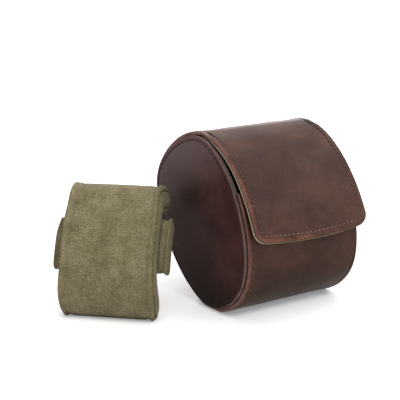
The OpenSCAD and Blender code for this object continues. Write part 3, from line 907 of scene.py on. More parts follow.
bend_share = np.clip((bend_angles - bend_angles[0]) / (2 * BEND_TURN), 0, 1)
sunk = 0.9 * np.sin(np.pi * bend_share) ** 2  # a soft dip over the missing board, mm
bend_depth = FLAP_LINING_TOP + (LINING_TOP - FLAP_LINING_TOP) * bend_share - sunk
bend_cloth, bend_run = lining_sheet("bend_cloth", bend_line, bend_angles, bend_depth)
across_the_bend(bend_cloth)
print("lining round the case and in the bend, mm:", round(cloth_run), round(bend_run))

# %% Canvas inside the flap
PINCH = 1.0  # over this much of its edge it is drawn up to the leather
EDGE_SHOWS = 0.8  # how far it stands out below the leather
TOP_CLEARANCE = 0.5
cloth_flat = flap_grid(-EDGE_SHOWS, TOP_CLEARANCE)
cloth_inside = distance_inside(cloth_flat[..., 0], cloth_flat[..., 1])
sink = (FLAP_LINING_TOP - BOARD_TOP) * np.clip(cloth_inside / PINCH, 0, 1) ** 0.7
cloth_upper = flap_points(cloth_flat, -BOARD_TOP - sink)
cloth_lower = flap_points(cloth_flat, -BOARD_TOP - sink - LINING)
flap_cloth = make_sheet("flap_cloth", cloth_upper, cloth_lower, [LINING_CANVAS, RAW_EDGE],
                        uv_mm=cloth_flat, edge_r=0)


flap_length = length_along(flap_line(flap_dense[flap_dense > TIP]))[-1]
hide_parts("flap_lining")
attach(flap_cloth, "flap")
print("flap lining, mm:", round(2 * FLAP_HALF), "x", round(flap_length))

# %% [markdown]
# ## The round ends
# Each end is an oval of leather that stands a little proud of the wrap, with a board and a
# lining behind it. Its grid is polar: near the edge the rings follow the outline exactly,
# further in they shrink to the centre. A plain filled face would do for a flat end, but
# this one is very slightly domed, and a furrow runs along its seam, 2.3 mm inside the edge.


# %% Rings of an oval
around = np.linspace(0, 2 * np.pi, 180, endpoint=False)
RING_DEPTHS = np.concatenate([np.arange(0, 5.0, 0.4), [5.6, 6.6, 8.0]])  # close together about the seam
CENTRE_YZ = case_line(around).mean(0)
INNER_R = 40  # from the innermost of these rings to the middle, near enough
INNER_RINGS, SMALLEST = 14, 0.03  # the innermost ring is this share of the outer ones
print("points round an end:", len(around))


def oval_rings(edge_depth, depths):
    """Rings [y, z] of an oval plate: by depth near its edge, then shrinking evenly to its middle."""
    near = np.stack([case_line(around, edge_depth + d) for d in depths])
    shrink = np.linspace(1, SMALLEST, INNER_RINGS + 1)[1:]
    inner = CENTRE_YZ + (near[-1] - CENTRE_YZ)[None] * shrink[:, None, None]
    depth_in = np.concatenate([depths, depths[-1] + (1 - shrink) * INNER_R])
    return np.concatenate([near, inner]), depth_in


# %% A closed oval plate
def oval_plate(name, side, edge_depth, inner_x, outer_x, out, materials,
               worn=None, edge_r=CUT_ROUND, uv=False):
    """A closed oval plate between two x. Its outer face is moved by out, its wear is given by worn.

    Both are functions of the rings' depths from the edge. A fan of triangles closes the middle.
    """
    rings, depth_in = oval_rings(edge_depth, RING_DEPTHS)
    count, columns = rings.shape[:2]
    face_x = side * (outer_x + out(rings, depth_in))
    outer = np.concatenate([face_x[..., None], rings], -1)
    inner = np.concatenate([np.full((count, columns, 1), side * inner_x), rings], -1)
    middle_out = np.append(side * (outer_x + out(rings[-1:], depth_in[-1:]).mean()), CENTRE_YZ)
    middle_in = np.append(side * inner_x, CENTRE_YZ)
    points = np.concatenate([outer.reshape(-1, 3), inner.reshape(-1, 3), middle_out[None], middle_in[None]])
    faces = grid_faces(count, columns, around=True)
    below = count * columns
    j = np.arange(columns)
    k = (j + 1) % columns
    rim = np.stack([j, k, k + below, j + below], -1)
    last = (count - 1) * columns
    fan_out = np.stack([last + j, last + k, np.full(columns, 2 * below)], -1)
    fan_in = np.stack([below + last + k, below + last + j, np.full(columns, 2 * below + 1)], -1)
    all_faces = [*faces, *(faces[:, ::-1] + below), *rim, *fan_out, *fan_in]
    slots = np.concatenate([np.zeros(2 * len(faces)), np.ones(len(rim)), np.zeros(2 * columns)])
    worn_values = None
    if worn is not None:
        ring_worn = np.repeat(worn(depth_in), columns)
        worn_values = np.concatenate([ring_worn, ring_worn, [0, 0]])
    uv_mm = points[:, 1:][np.concatenate(all_faces)] if uv else None
    piece = make_piece(name, points, all_faces, materials, slots, worn_values, uv_mm)
    if edge_r:
        ends = edge_ends(piece)
        outer_edge = (ends < columns).all(1)
        inner_edge = ((ends >= below) & (ends < below + columns)).all(1)
        round_edges(piece, outer_edge | inner_edge, edge_r)
    return piece


# %% Faces of the ends
DOME = 0.7


def disc_relief(rings, depth_in):
    """A low dome and slow waves, which grow over 12 and 6 mm from the edge, less the seam's furrow."""
    dome = DOME * (1 - np.exp(-depth_in / 12))[:, None]
    waves = 0.12 * np.sin(rings[..., 0] * 0.09 + 1) * np.cos(rings[..., 1] * 0.07)
    waves = waves * (1 - np.exp(-depth_in / 6))[:, None]
    return dome + waves - furrow(depth_in - END_SEAM_INSET, depth=0.28, width=0.6)[:, None]


def flat_face(rings, depth_in):
    """No relief at any depth: the lining lies flat on its board."""
    return np.zeros(rings.shape[:2])


print("height of an end's dome, mm:", DOME)


# %% The two ends and their linings
END_EDGE = LEATHER + END_GAP + 0.3  # from the outline in to the edge of an end
for side, word in ((-1, "left"), (1, "right")):
    disc = oval_plate(word + "_disc", side, END_EDGE, END_BACK, END_FACE, disc_relief,
                      [END_LEATHER_PAINTED_SHADE, DISC_EDGE], worn=lambda depth_in: wear(depth_in, reach_mm=1.6))
    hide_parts(word + "_end_leather")
    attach(disc, "case")
    cloth_outer = END_BACK - 2 * GLUE - END_BOARD
    disc_cloth = oval_plate(word + "_disc_cloth", side, END_BOARD_EDGE, cloth_outer - LINING, cloth_outer,
                            flat_face, [LINING_CANVAS, LINING_CANVAS], edge_r=0, uv=True)
    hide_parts(word + "_end_lining")
    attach(disc_cloth, "case")
    oval = case_line(around, END_BOARD_EDGE)

# %% [markdown]
# ## Stitches
# Hand stitches are separate: each one is a short arch of thread that rises out of one hole
# and dives into the next, and slants a little against the seam. One arch is worked out
# once, and all the stitches of a seam are that arch turned and moved by whole-array sums;
# an instance of a modelled stitch at each place would look the same, with more objects. The
# same thread comes in three tones: lightest along the front edges, a middle tone on the
# sides, and darkest on the round ends, where the darkness is painted shade.

# %% Places along a seam
STITCH_PITCH = 4.0  # mm from one stitch to the next
THREAD_R = 0.38
STITCH_RINGS, STITCH_SIDES = 9, 6  # points of one stitch's tube: along it and round it


def even_points(line, pitch):
    """Points about pitch apart along a line, its direction there, their places and their true pitch."""
    run = length_along(line)
    count = max(1, int(round(run[-1] / pitch)))
    at = (np.arange(count) + 0.5) * run[-1] / count
    way = read_off(at + 0.5, run, line) - read_off(at - 0.5, run, line)
    return read_off(at, run, line), way / np.linalg.norm(way, axis=1, keepdims=True), at, run[-1] / count


print("points of one stitch:", STITCH_RINGS * STITCH_SIDES)


# %% One row of stitches
def stitch_row(name, line, normals, material,
               pitch=STITCH_PITCH, radius=THREAD_R, slant=9, rise=0.12, length=0.8):
    """A row of stitches along a line, its normals given at the line's points.

    slant is in degrees, rise in mm over the line and length a share of the pitch. The arch
    falls with the power 3.5 of the way from its middle, and its ends are a third thinner.
    """
    middle, way, at, step = even_points(line, pitch)
    up = read_off(at, length_along(line), normals)
    up = up - way * (up * way).sum(1, keepdims=True)
    up = up / np.linalg.norm(up, axis=1, keepdims=True)
    aside = np.cross(up, way)
    turn = np.radians(slant)
    way, aside = way * np.cos(turn) + aside * np.sin(turn), aside * np.cos(turn) - way * np.sin(turn)
    share = np.linspace(-1, 1, STITCH_RINGS)
    height = rise - (rise + radius) * np.abs(share) ** 3.5
    swell = radius * (1 - 0.35 * share ** 4)
    ring = np.linspace(0, 2 * np.pi, STITCH_SIDES, endpoint=False)
    local_way = np.broadcast_to((share * length * step / 2)[:, None], (STITCH_RINGS, STITCH_SIDES))
    local_side = swell[:, None] * np.cos(ring)
    local_up = height[:, None] + swell[:, None] * np.sin(ring)
    points = (middle[:, None, None] + way[:, None, None] * local_way[None, ..., None]
              + aside[:, None, None] * local_side[None, ..., None]
              + up[:, None, None] * local_up[None, ..., None])
    per_stitch = STITCH_RINGS * STITCH_SIDES
    tube = grid_faces(STITCH_RINGS, STITCH_SIDES, around=True)
    first = (np.arange(len(middle)) * per_stitch)[:, None]
    sides = (tube[None] + first[..., None]).reshape(-1, 4)
    cap = np.arange(STITCH_SIDES)
    ends = np.concatenate([first + cap[::-1], first + per_stitch - STITCH_SIDES + cap])
    points = points.reshape(-1, 3)
    points[:, 2] = np.maximum(points[:, 2], 0.02)  # clear of the table
    return make_piece(name, points, [*sides, *ends], [material])


def to_normals(a):
    """Outward normals as [x, y, z] at angles a."""
    return np.concatenate([np.zeros((len(a), 1)), outward(a)], -1)


def sew(piece, node_name, body):
    if node_name:
        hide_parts(node_name)
    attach(piece, body)


# %% Seams of the wrap, the bend and the ends
SUNK = 0.2  # a seam lies this deep in the leather
END_SUNK = 0.05
seam_a = np.interp(np.linspace(0, dense_run[-1] - SEAM_INSET - 1, 600), dense_run, dense)
for side, word in ((-1, "left"), (1, "right")):
    row_x = np.full(len(seam_a), side * (WRAP_HALF - SEAM_INSET))
    line = placed(row_x, case_line(seam_a), outward(seam_a), np.full(len(seam_a), -SUNK))
    sew(stitch_row(word + "_wrap_stitches", line, to_normals(seam_a), MIDDLE_THREAD),
        word + "_wrap_thread", "case")
    bend_x = np.full(len(bend_angles), side * (WRAP_HALF - SEAM_INSET))
    bend_sunk = np.full(len(bend_angles), -SUNK)
    bend_seam = placed(bend_x, bend_line(bend_angles), outward(bend_angles), bend_sunk)
    bend_row = stitch_row(word + "_bend_stitches", bend_seam, to_normals(bend_angles), MIDDLE_THREAD)
    across_the_bend(bend_row)
    ring_line = case_line(np.append(around, around[0]), END_EDGE + END_SEAM_INSET)
    ring_x = np.full((len(ring_line), 1), side * (END_FACE - END_SUNK))
    ring_points = np.concatenate([ring_x, ring_line], -1)
    ring_normals = np.tile([side, 0.0, 0.0], (len(ring_line), 1))
    ring_row = stitch_row(word + "_disc_stitches", ring_points, ring_normals, PAINTED_SHADE_THREAD,
                          pitch=3.4, slant=-6 * side)
    sew(ring_row, word + "_end_thread", "case")
print("last round seam, mm:", round(length_along(ring_points)[-1]))

# %% Seams of the front panel and the flap
panel_x = np.linspace(-WRAP_HALF + SEAM_INSET + 2, WRAP_HALF - SEAM_INSET - 2, 60)
panel_a = np.full(len(panel_x), np.interp(dense_run[-1] - SEAM_INSET, dense_run, dense))
panel_line = placed(panel_x, case_line(panel_a), outward(panel_a), np.full(len(panel_x), -SUNK))
sew(stitch_row("panel_stitches", panel_line, to_normals(panel_a), LEATHER_THREAD),
    "panel_thread", "case")

lower_row = flap_border(SEAM_INSET)
side_v = np.linspace(ROOT_V, CORNER_UP, 60)[:-1]
left_side = np.stack([-flap_side(side_v, SEAM_INSET), side_v], -1)
right_side = np.stack([flap_side(side_v, SEAM_INSET), side_v], -1)[::-1]
flap_rows = {"flap_stitches": lower_row, "left_flap_stitches": np.vstack([left_side, lower_row[:1]]),
             "right_flap_stitches": np.vstack([lower_row[-1:], right_side])}
for name, row in flap_rows.items():
    row_points = flap_points(row, np.full(len(row), -SUNK))
    finish, turned = (LEATHER_THREAD, 24) if name == "flap_stitches" else (MIDDLE_THREAD, 12)
    stitches = stitch_row(name, row_points, to_normals(flap_angle(row[:, 1])), finish,
                          pitch=3.1, slant=turned, radius=0.42, rise=0.2, length=0.74)
    sew(stitches, "flap_thread" if name == "flap_stitches" else None, "flap")
print("seams sewn")

# %% [markdown]
# ## The cushion
# The pad is a band of foam, bent to an S: it rises from its foot, has a long crowned front
# and bends back into a short lip. Its canvas cover is sewn round both ends with the raw
# edges turned in. A curve with a bevel would give the band, but not its ends; so the section
# is worked out as an even band round a middle line, with the same number of points on both
# sides, and the ends can be closed by a ladder of quads.

# %% Sizes of the cushion
CUSHION_HALF = 27.75  # half its width
PAD_HALF = 7.35  # half its thickness
PAD_PRESS = 1.3  # how far its foot is pressed flat
CUSHION_LEAN = 26.5  # degrees
CUSHION_TURN = np.radians(-45)  # its front faces the front left
CUSHION_AT = np.array([-96.0, 23.5])  # the middle of its foot, [x, y]
LOWER_BEND_R = 29.5
LOWER_SWEEP = np.radians(55)
FRONT_R = 85.0
FRONT_L = 37.5
UPPER_BEND_R = 6.0
UPPER_SWEEP = np.radians(58)
LIP = 12.0  # length of the straight lip
FOOT_HEADING = np.radians(150 - CUSHION_LEAN)
FRONT_SWEEP = FRONT_L / FRONT_R
print("cushion stands at, mm:", CUSHION_AT)


# %% Bends of the middle line
def centre_of(point, heading, r):
    """Centre of a bend of radius r to the right of a point that goes along heading."""
    return point + r * np.array([np.sin(heading), -np.cos(heading)])


def bend_points(point, heading, r, turns):
    """Points [back, up] on the circle of a bend, and headings there, after each of the given turns."""
    h = heading - np.asarray(turns, float)
    centre = centre_of(point, heading, r)
    return centre + r * np.stack([-np.sin(h), np.cos(h)], -1), h


def off_line(points, headings, d):
    """Points d mm to the left of a line."""
    return points + d * np.stack([-np.sin(headings), np.cos(headings)], -1)


foot = np.array([0.0, PAD_HALF - PAD_PRESS])
lower_turns = np.linspace(0, LOWER_SWEEP, 16)
front_turns = np.linspace(0, FRONT_SWEEP, 22)[1:-1]
upper_turns = np.linspace(0, UPPER_SWEEP, 9)
lower_points, lower_heads = bend_points(foot, FOOT_HEADING, LOWER_BEND_R, lower_turns)
front_points, front_heads = bend_points(lower_points[-1], lower_heads[-1], FRONT_R, front_turns)
top_point, top_head = bend_points(lower_points[-1], lower_heads[-1], FRONT_R, [FRONT_SWEEP])
upper_points, upper_heads = bend_points(top_point[0], top_head[0], UPPER_BEND_R, upper_turns)
lip_way = np.array([np.cos(upper_heads[-1]), np.sin(upper_heads[-1])])
lip_points = upper_points[-1] + lip_way * np.linspace(0, LIP, 9)[1:, None]
lip_heads = np.full(len(lip_points), upper_heads[-1])
print("points on the middle line:", len(lower_points) + len(front_points) + len(upper_points) + len(lip_points))

# %% The section round the middle line
FILLET = 0.6  # radius in the inner corner under the lip
CAP_POINTS = 6


def half_round(middle, heading, r):
    """Points of a half circle of radius r, from the left of a heading round to its right."""
    turn = heading + np.linspace(np.pi / 2, -np.pi / 2, 2 * CAP_POINTS + 1)[1:-1]
    return middle + r * np.stack([np.cos(turn), np.sin(turn)], -1)


def pad_section(inset):
    """The pad's section [back, up] as a ring: foot, front side, lip, back side. inset thins it.

    Where the band is thicker than its bend is round, a small fillet stands in for its inner side.
    """
    half = PAD_HALF - inset
    mid_points = np.concatenate([lower_points, front_points, upper_points, lip_points])
    mid_heads = np.concatenate([lower_heads, front_heads, upper_heads, lip_heads])
    left = off_line(mid_points, mid_heads, half)
    right = off_line(mid_points, mid_heads, -half)
    if half > UPPER_BEND_R - FILLET:
        bisector = upper_heads.mean()
        down = np.array([np.sin(bisector), -np.cos(bisector)])
        overlap = (half + FILLET - UPPER_BEND_R) / np.cos(UPPER_SWEEP / 2)
        centre = centre_of(top_point[0], top_head[0], UPPER_BEND_R) + down * overlap
        n = len(lower_points) + len(front_points)
        right[n:n + len(upper_points)] = off_line(centre, upper_heads, FILLET)
    tip_cap = half_round(lip_points[-1], lip_heads[-1], half)
    foot_cap = half_round(foot, FOOT_HEADING + np.pi, half)
    middle = len(foot_cap) // 2
    ring = np.concatenate([foot_cap[middle:], left, tip_cap, right[::-1], foot_cap[:middle]])
    ring[:, 1] = np.maximum(ring[:, 1], 0.0)
    return ring


section = pad_section(0.0)
print("pad section, mm:", np.ptp(section, axis=0).round(1), "points:", len(section))


# %% Relief of a sewn end
END_INSETS = np.array([0.0, 0.4, 0.8, 1.3, 1.8, 2.3, 2.8, 3.4, 4.2, 5.2, 6.2])
BULGE_WITHIN = 4.5  # an end is at its fullest this far in


def end_bulge(inset, crest_in):
    """How far out an end lies at an inset from its sewn edge: a quarter ellipse, crest_in mm high."""
    share = np.clip(inset / BULGE_WITHIN, 0, 1)
    return crest_in * np.sqrt(share * (2 - share))


def seam_relief(distance):
    """The sewn edge stands up as a ridge, with a shallow valley beside it: two bell curves, in mm."""
    ridge = 0.85 * np.exp(-((distance - 0.3) / 0.75) ** 2)
    valley = 0.6 * np.exp(-((distance - 2.6) / 1.3) ** 2)
    return ridge - valley


print("ridge and valley of a sewn edge, mm:", seam_relief(np.array([0.3, 2.6])).round(2))


# %% A stuffed block from a section
def stuffed_block(name, section_of, half, gap, insets, crest_in, round_r=0.3):
    """A block of constant section: rows along x, rings of growing inset on both ends, a ladder inside.

    The sewn edges are rounded by round_r, so the first ring of an end lies a quarter of it
    inside. The block comes with the number of its rows and columns, and with each row's inset,
    which is -1 on the side.
    """
    crest = half - crest_in
    x_rows = spaced(-crest + round_r, crest - round_r, gap, fine=4.2, fine_gap=0.6)
    end_x = crest + end_bulge(insets, crest_in)
    end_rings = [section_of(inset + 0.25 * round_r) for inset in insets]
    base = section_of(0.0)
    rings = np.array(end_rings[::-1] + [base] * len(x_rows) + end_rings)
    x_of = np.concatenate([-end_x[::-1], x_rows, end_x])
    inset_of = np.concatenate([insets[::-1], np.full(len(x_rows), -1.0), insets])
    count, columns = rings.shape[:2]
    points = np.concatenate([np.broadcast_to(x_of[:, None, None], (count, columns, 1)), rings], -1)
    faces = grid_faces(count, columns, around=True)
    k = np.arange(columns // 2 - 1)
    ladder = np.stack([k, k + 1, columns - 2 - k, columns - 1 - k], -1)
    last = (count - 1) * columns
    all_faces = np.concatenate([faces, ladder, ladder[:, ::-1] + last])
    run = length_along(np.vstack([base, base[:1]]))
    side_row = inset_of < 0
    on_side = np.repeat(side_row[:-1] | side_row[1:], columns)
    row_of, column_of = all_faces // columns, all_faces % columns
    wrapped = (column_of == 0) & (column_of.max(1, keepdims=True) == columns - 1)
    side_uv = np.stack([x_of[row_of], run[np.where(wrapped, columns, column_of)]], -1)
    end_uv = points.reshape(-1, 3)[all_faces][..., 1:]
    is_side = np.concatenate([on_side, np.zeros(2 * len(ladder), bool)])
    uv = np.where(is_side[:, None, None], side_uv, end_uv)
    piece = make_piece(name, points.reshape(-1, 3), all_faces, [CANVAS, END_CANVAS_PAINTED_SHADE], ~is_side,
                       uv_mm=uv.reshape(-1, 2))
    return piece, count, columns, inset_of


# %% [markdown]
# ### Filling the cushion
# Blender's cloth, blown up from inside with gravity off, gives the canvas the fullness of a
# stuffed cover. The sewn edges hold still and the faces between them swell. How far a point
# may move is capped, because the foam inside is firm. The seams are pressed in afterwards
# by formula: a stitched seam is far sharper than cloth on so open a grid can follow.


# %% Filling
def mesh_points(piece):
    """The points of a piece's mesh, in metres."""
    values = np.empty(3 * len(piece.data.vertices), np.float32)
    piece.data.vertices.foreach_get("co", values)
    return values.reshape(-1, 3).astype(float)


def fill_with_foam(piece, held, pressure, most_mm, frames=20):
    """The points of a closed cover swollen by cloth pressure, those picked by held in their places.

    Each move is made shorter by a hyperbolic tangent, so that none is longer than most_mm.
    """
    before = mesh_points(piece)
    group = piece.vertex_groups.new(name="sewn")
    group.add(np.flatnonzero(held).tolist(), 1.0, "REPLACE")
    cloth = piece.modifiers.new("fill", "CLOTH")
    cloth.settings.vertex_group_mass = "sewn"
    # stout cotton: firm along its threads, easier to bend
    cloth.settings.quality = 6
    cloth.settings.mass = 0.3
    cloth.settings.tension_stiffness = 25
    cloth.settings.compression_stiffness = 25
    cloth.settings.bending_stiffness = 1.5
    cloth.settings.use_pressure = True
    cloth.settings.uniform_pressure_force = pressure
    cloth.settings.effector_weights.gravity = 0
    cloth.collision_settings.use_collision = False
    cloth.point_cache.frame_start = 1
    cloth.point_cache.frame_end = frames
    for step in range(1, frames + 1):
        scene.frame_set(step)
    swollen = piece.evaluated_get(bpy.context.evaluated_depsgraph_get()).to_mesh()
    after = np.empty(3 * len(swollen.vertices), np.float32)
    swollen.vertices.foreach_get("co", after)
    piece.modifiers.remove(cloth)
    piece.vertex_groups.remove(group)
    moved = after.reshape(-1, 3) - before
    far = np.linalg.norm(moved, axis=1, keepdims=True)
    most = most_mm * MM
    moved = moved * np.where(far > 0, most * np.tanh(far / most) / np.maximum(far, 1e-9), 0)
    scene.frame_set(1)
    print(piece.name, "swelled by up to", round(float(far.max() * 1000), 2), "mm, kept to", most_mm)
    return before + moved


# %% Where the cushion stands
def on_cushion(points):
    """From the cushion's own frame, x along it and y to its back, to the case's frame (mm)."""
    c, s = np.cos(CUSHION_TURN), np.sin(CUSHION_TURN)
    turned = points.copy()
    turned[..., 0] = CUSHION_AT[0] + points[..., 0] * c - points[..., 1] * s
    turned[..., 1] = CUSHION_AT[1] + points[..., 0] * s + points[..., 1] * c
    return turned


def set_points(piece, points_m):
    """Moves the points of a piece's mesh to these, in metres."""
    piece.data.vertices.foreach_set("co", points_m.astype(np.float32).ravel())
    piece.data.update()


print("middle of the cushion's foot, mm:", on_cushion(np.zeros(3)))


# %% Seams and gathers of a cover
SECTION_ROUND = 160  # mm round a section, near enough
RIPPLE = 0.16  # mm at the sewn edge, dying away inwards


def puckers(x, run):
    """Small gathers that stitching leaves in canvas: two waves from -1 to 1, bent by slower waves."""
    along = np.sin(run * 0.9 + 2 * np.sin(run * 0.23))
    crossed = np.sin(run * 1.7 + 1.3 * np.sin(0.31 * x))
    return 0.5 * along + 0.5 * crossed


def section_normals(grid):
    """Outward directions across each row's section, as [0, y, z]: its tangents, turned a quarter."""
    tangent = np.roll(grid, -1, 1) - np.roll(grid, 1, 1)
    normal = np.stack([0 * tangent[..., 0], -tangent[..., 2], tangent[..., 1]], -1)
    return normal / np.maximum(np.linalg.norm(normal, axis=-1, keepdims=True), 1e-9)


print("gathers at a sewn edge, mm:", RIPPLE)


# %% Finishing a cover
def finish_cover(piece, rows, columns, insets, crest, pressure, most_mm, groove, shape):
    """Fills a cover, presses its seams in, shapes it and puts it where the cushion stands.

    crest is the x of its sewn edges, groove the inset of the seam on its ends.
    """
    edge_row = np.repeat(insets == 0.0, columns)
    points = fill_with_foam(piece, edge_row, pressure, most_mm)
    grid = (points / MM).reshape(rows, columns, 3)
    on_end = insets >= 0
    side = np.sign(grid[:, :1, 0])
    pressed_in = furrow(insets - groove, depth=0.8, width=0.6)
    grid[..., 0] -= side * np.where(on_end, pressed_in, 0)[:, None]
    # the ridge of the sewn edge lies on both sides of it, but less far on to the end
    from_crest = np.where(on_end[:, None], 0.4 * insets[:, None], crest - np.abs(grid[..., 0]))
    relief = seam_relief(from_crest) * np.where(on_end, insets < 0.5, True)[:, None]
    run = np.linspace(0, SECTION_ROUND, columns)[None]
    ripple = RIPPLE * np.exp(-(from_crest / 4.0) ** 2) * puckers(grid[..., 0], run) * ~on_end[:, None]
    grid += section_normals(grid) * (relief + ripple)[..., None]
    grid = shape(grid)
    grid[..., 2] = np.maximum(grid[..., 2], 0)
    set_points(piece, on_cushion(grid).reshape(-1, 3) * MM)
    smooth = piece.modifiers.new("soft", "SUBSURF")
    smooth.levels = 1
    smooth.render_levels = 1
    return grid


# %% The pad
PAD_CREST = 1.7  # how far the sewn edges lie inside the fullest part of the ends
PAD_SEAM = 2.3  # from these edges in to the seam on each end


def step_up(value, low, high):
    """A smooth step from 0 at low to 1 at high: three times the square less twice the cube."""
    t = np.clip((value - low) / (high - low), 0, 1)
    return t * t * (3 - 2 * t)


def pad_shape(grid):
    """The stuffing settles: fuller near the foot, narrower at the table and at the top bend.

    Each end moves by some tenths of a millimetre, given by its height and growing with the
    square of the distance from the middle.
    """
    z = grid[..., 2]
    fuller = 1.4 * np.exp(-((z - 14) / 13) ** 2)
    at_table = 1 - step_up(z, 0, 6)
    left = fuller + 0.4 * step_up(z, 30, 48) - 0.5 * step_up(z, 56, 64) - 1.2 * at_table
    right = 0.7 * fuller - 0.8 * step_up(z, 60, 69)
    moved = grid.copy()
    share = grid[..., 0] / CUSHION_HALF
    moved[..., 0] += np.where(share < 0, left, right) * share * np.abs(share)
    return moved


pad_cover, pad_rows, pad_columns, pad_insets = stuffed_block(
    "pad_cover", pad_section, CUSHION_HALF, gap=1.9, insets=END_INSETS, crest_in=PAD_CREST)
pad_grid = finish_cover(pad_cover, pad_rows, pad_columns, pad_insets, CUSHION_HALF - PAD_CREST,
                        pressure=5.0, most_mm=1.2, groove=PAD_SEAM, shape=pad_shape)
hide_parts("cushion_canvas", "cushion_foam", "cushion_left_end", "cushion_right_end")
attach(pad_cover, "cushion")
print("pad across, mm:", np.ptp(pad_grid[..., 0]).round(1))

# %% [markdown]
# ### The centring bar
# A thinner block of foam in the same canvas lies across the pad's back. It is wider than
# the pad, so that its two ends keep the cushion in the middle of the case. It could be a
# box bent by a Simple Deform modifier; its section is drawn already bent instead, along
# the pad's back, so that the two touch all the way. The top of its left end has settled.

# %% Sizes of the bar
BAR_HALF = 34.5  # half its width
BAR_H = 34.4
BAR_D = 11.0
BAR_R = 3.5  # radius of its long edges
BAR_LOW = 4.2  # how far below the middle of the pad's front it lies
BAR_LEAST_R = 0.2  # these edges keep at least this radius in the inner rings of its ends
BAR_ASIDE = -1.2  # to the left
BAR_SETTLED = 2.2  # how far the top of its left end has gone down
BAR_GAP = 0.3  # to the pad
BAR_CREST = 1.0
BAR_SEAM = 1.8
BACK_R = FRONT_R - PAD_HALF
crown = centre_of(lower_points[-1], lower_heads[-1], FRONT_R)
crown_heading = lower_heads[-1] - FRONT_SWEEP / 2
print("bar, mm:", 2 * BAR_HALF, "x", BAR_H, "x", BAR_D)


# %% The bar's section
def bar_section(inset):
    """The bar's section as a ring: a rounded rectangle [depth, height] bent along the pad's back."""
    r = max(BAR_R - inset, BAR_LEAST_R)
    spare = max(inset - (BAR_R - BAR_LEAST_R), 0.0)
    shallow, deep = BAR_R + spare, BAR_D - BAR_R - spare
    low, high = BAR_R - BAR_H / 2 - BAR_LOW + spare, BAR_H / 2 - BAR_LOW - BAR_R - spare
    quarter = np.linspace(0, np.pi / 2, 5)

    def edge(depth, height, start):
        """A rounded edge: a quarter circle from the angle start."""
        return np.stack([depth + r * np.cos(start + quarter), height + r * np.sin(start + quarter)], -1)

    between = np.linspace(0, 1, 14)[1:-1]
    front_side = np.stack([np.full(12, shallow - r), low + (high - low) * between], -1)
    back_side = np.stack([np.full(12, deep + r), high + (low - high) * between], -1)
    foot_side = np.linspace(deep, shallow, 5)[1:-1]
    head_side = foot_side[::-1]
    ring = np.concatenate([
        [[foot_side[1], low - r], [foot_side[2], low - r]],
        edge(shallow, low, np.pi)[::-1], front_side, edge(shallow, high, np.pi / 2)[::-1],
        [[v, high + r] for v in head_side], edge(deep, high, 0)[::-1], back_side,
        edge(deep, low, 1.5 * np.pi)[::-1], [[foot_side[0], low - r]]])
    turn = crown_heading - ring[:, 1] / BACK_R
    reach_in = BACK_R - BAR_GAP - ring[:, 0]
    return crown + reach_in[:, None] * np.stack([-np.sin(turn), np.cos(turn)], -1)


bar_ring = bar_section(0.0)
print("bar section points:", len(bar_ring), np.ptp(bar_ring, axis=0).round(1))


# %% The bar
def bar_shape(grid):
    """The bar sits a little to the left; two smooth steps find the top of its left end, which settles."""
    moved = grid + [BAR_ASIDE, 0, 0]
    x, z = moved[..., 0], moved[..., 2]
    share = step_up(-x, BAR_HALF - 11, BAR_HALF - 4) * step_up(z, z.max() - 10, z.max())
    moved[..., 0] += 0.7 * share
    moved[..., 2] -= BAR_SETTLED * share
    return moved


bar_cover, bar_rows, bar_columns, bar_insets = stuffed_block(
    "bar_cover", bar_section, BAR_HALF, gap=2.2, insets=END_INSETS[:-2], crest_in=BAR_CREST)
bar_grid = finish_cover(bar_cover, bar_rows, bar_columns, bar_insets, BAR_HALF - BAR_CREST,
                        pressure=4.0, most_mm=0.6, groove=BAR_SEAM, shape=bar_shape)
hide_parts("bar_canvas", "bar_foam", "bar_left_end", "bar_right_end")
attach(bar_cover, "cushion")
print("bar across, mm:", np.ptp(bar_grid[..., 0]).round(1))

# %% The cushion's seams
CLEAR_OF_TABLE = 0.6  # no stitches below this, where the cushion stands on its seam
seam_rows = np.flatnonzero(np.abs(pad_insets - PAD_SEAM) < 0.01)
for row, side, word in zip(seam_rows, (-1, 1), ("left", "right")):
    ring_grid = np.vstack([pad_grid[row], pad_grid[row][:1]])
    ring_grid = ring_grid[ring_grid[:, 2] > CLEAR_OF_TABLE]
    seam_line = on_cushion(ring_grid)
    facing = on_cushion(ring_grid + [side, 0, 0]) - seam_line
    pad_row = stitch_row(word + "_pad_stitches", seam_line, facing, CANVAS_THREAD,
                         pitch=3.0, radius=0.4, slant=0, rise=0.2)
    sew(pad_row, "cushion_" + word + "_thread", "cushion")
print("cushion sewn")

# %% [markdown]
# ## Floor and light
# The floor is a pale, matt plane and the backdrop is plain white. A broad soft lamp hangs
# high over the right front, a small one fills in low from the front left, and another lights
# the edges from behind on the right. The floor adds a little white of its own for the camera
# only, more of it further out, so that it reaches white and still keeps the soft shadow by
# the case. Close under things an Ambient Occlusion node takes that glow away again, a
# painted contact shadow: without it the case would seem to float.


# %% Rays that see the studio
def seen_directly(tree):
    """1 for rays from the camera, and for those that reach it by a mirror or through glass: their maximum."""
    from_camera = add(tree, "LightPath", out="Is Camera Ray")
    rays = from_camera.node.outputs
    mirrored = add(tree, "Math", {0: from_camera, 1: rays["Is Glossy Ray"]}, operation="MAXIMUM")
    return add(tree, "Math", {0: mirrored, 1: rays["Is Transmission Ray"]}, operation="MAXIMUM")


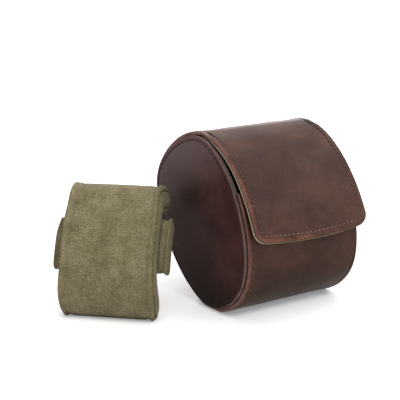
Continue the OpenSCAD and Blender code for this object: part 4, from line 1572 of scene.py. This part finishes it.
# %% Floor
FLOOR_SIZE = 12.0  # metres
FLOOR_GLOW = 0.43  # the floor's own white near the case; 1 further out
GLOW_FROM, GLOW_TO = 0.06, 0.3  # metres from the middle
PAINTED_SHADOW_REACH = 5  # mm over which what stands on the floor darkens it
WHITE = (1, 1, 1, 1)
floor_paint, tree, shader = new_finish("pale floor")
place = add(tree, "TexCoord", out="Object")
away = add(tree, "VectorMath", {0: place}, out="Value", operation="LENGTH")
spread = add(tree, "MapRange", {"Value": away, "From Min": GLOW_FROM, "From Max": GLOW_TO,
                                "To Min": FLOOR_GLOW, "To Max": 1.0}, interpolation_type="SMOOTHSTEP")
open_share = add(tree, "AmbientOcclusion", {"Distance": PAINTED_SHADOW_REACH * MM}, out="AO", samples=8)
# painted contact shadow: the floor's glow fades close under what stands on it
painted_contact_shadow = add(tree, "MapRange", {"Value": open_share, "From Min": 0.2, "From Max": 0.9, "To Min": 0.45})
glow = add(tree, "Math", {0: spread, 1: painted_contact_shadow}, operation="MULTIPLY")
for_camera = add(tree, "Math", {0: seen_directly(tree), 1: glow}, operation="MULTIPLY")
feed(shader, {"Base Color": colour("#e9e9e9"), "Roughness": 0.9, "Specular IOR Level": 0.0,
              "Emission Color": WHITE, "Emission Strength": for_camera})
floor_mesh = bpy.data.meshes.new("floor")
corners = np.array([[-1, -1, 0], [1, -1, 0], [1, 1, 0], [-1, 1, 0]]) * FLOOR_SIZE / 2
floor_mesh.from_pydata(corners.tolist(), [], [[0, 1, 2, 3]])
floor_mesh.materials.append(floor_paint)
floor = bpy.data.objects.new("floor", floor_mesh)
scene.collection.objects.link(floor)
print("floor, m:", FLOOR_SIZE)

# %% Backdrop
WORLD_LIGHT = 0.26  # how strongly the white backdrop lights the scene
world = bpy.data.worlds.new("studio")
world.use_nodes = True
scene.world = world
tree = world.node_tree
strength = add(tree, "MapRange", {"Value": seen_directly(tree), "To Min": WORLD_LIGHT, "To Max": 1.0})
feed(tree.nodes["Background"], {"Strength": strength, "Color": WHITE})
print("backdrop lights with:", WORLD_LIGHT)

# %% Lamps
LAMPS_AIM = Vector((-0.03, 0, 0.05))  # metres: the middle of the group, a little up


def soft_lamp(name, at, size, power):
    """A square area lamp aimed at the case; at and size in metres, power in watts."""
    data = bpy.data.lights.new(name, "AREA")
    data.size = size
    data.energy = power
    lamp = bpy.data.objects.new(name, data)
    lamp.location = at
    aim = LAMPS_AIM - Vector(at)
    lamp.rotation_euler = aim.to_track_quat("-Z", "Y").to_euler()
    scene.collection.objects.link(lamp)


soft_lamp("key", (0.3, -0.15, 0.95), size=1.5, power=15.0)
soft_lamp("fill", (-0.62, -1.0, 0.42), size=0.45, power=3.6)
soft_lamp("rim", (0.7, 1.05, 0.5), size=0.6, power=4.6)
scene.view_settings.view_transform = "Standard"
print("lamps:", len(bpy.data.lights))
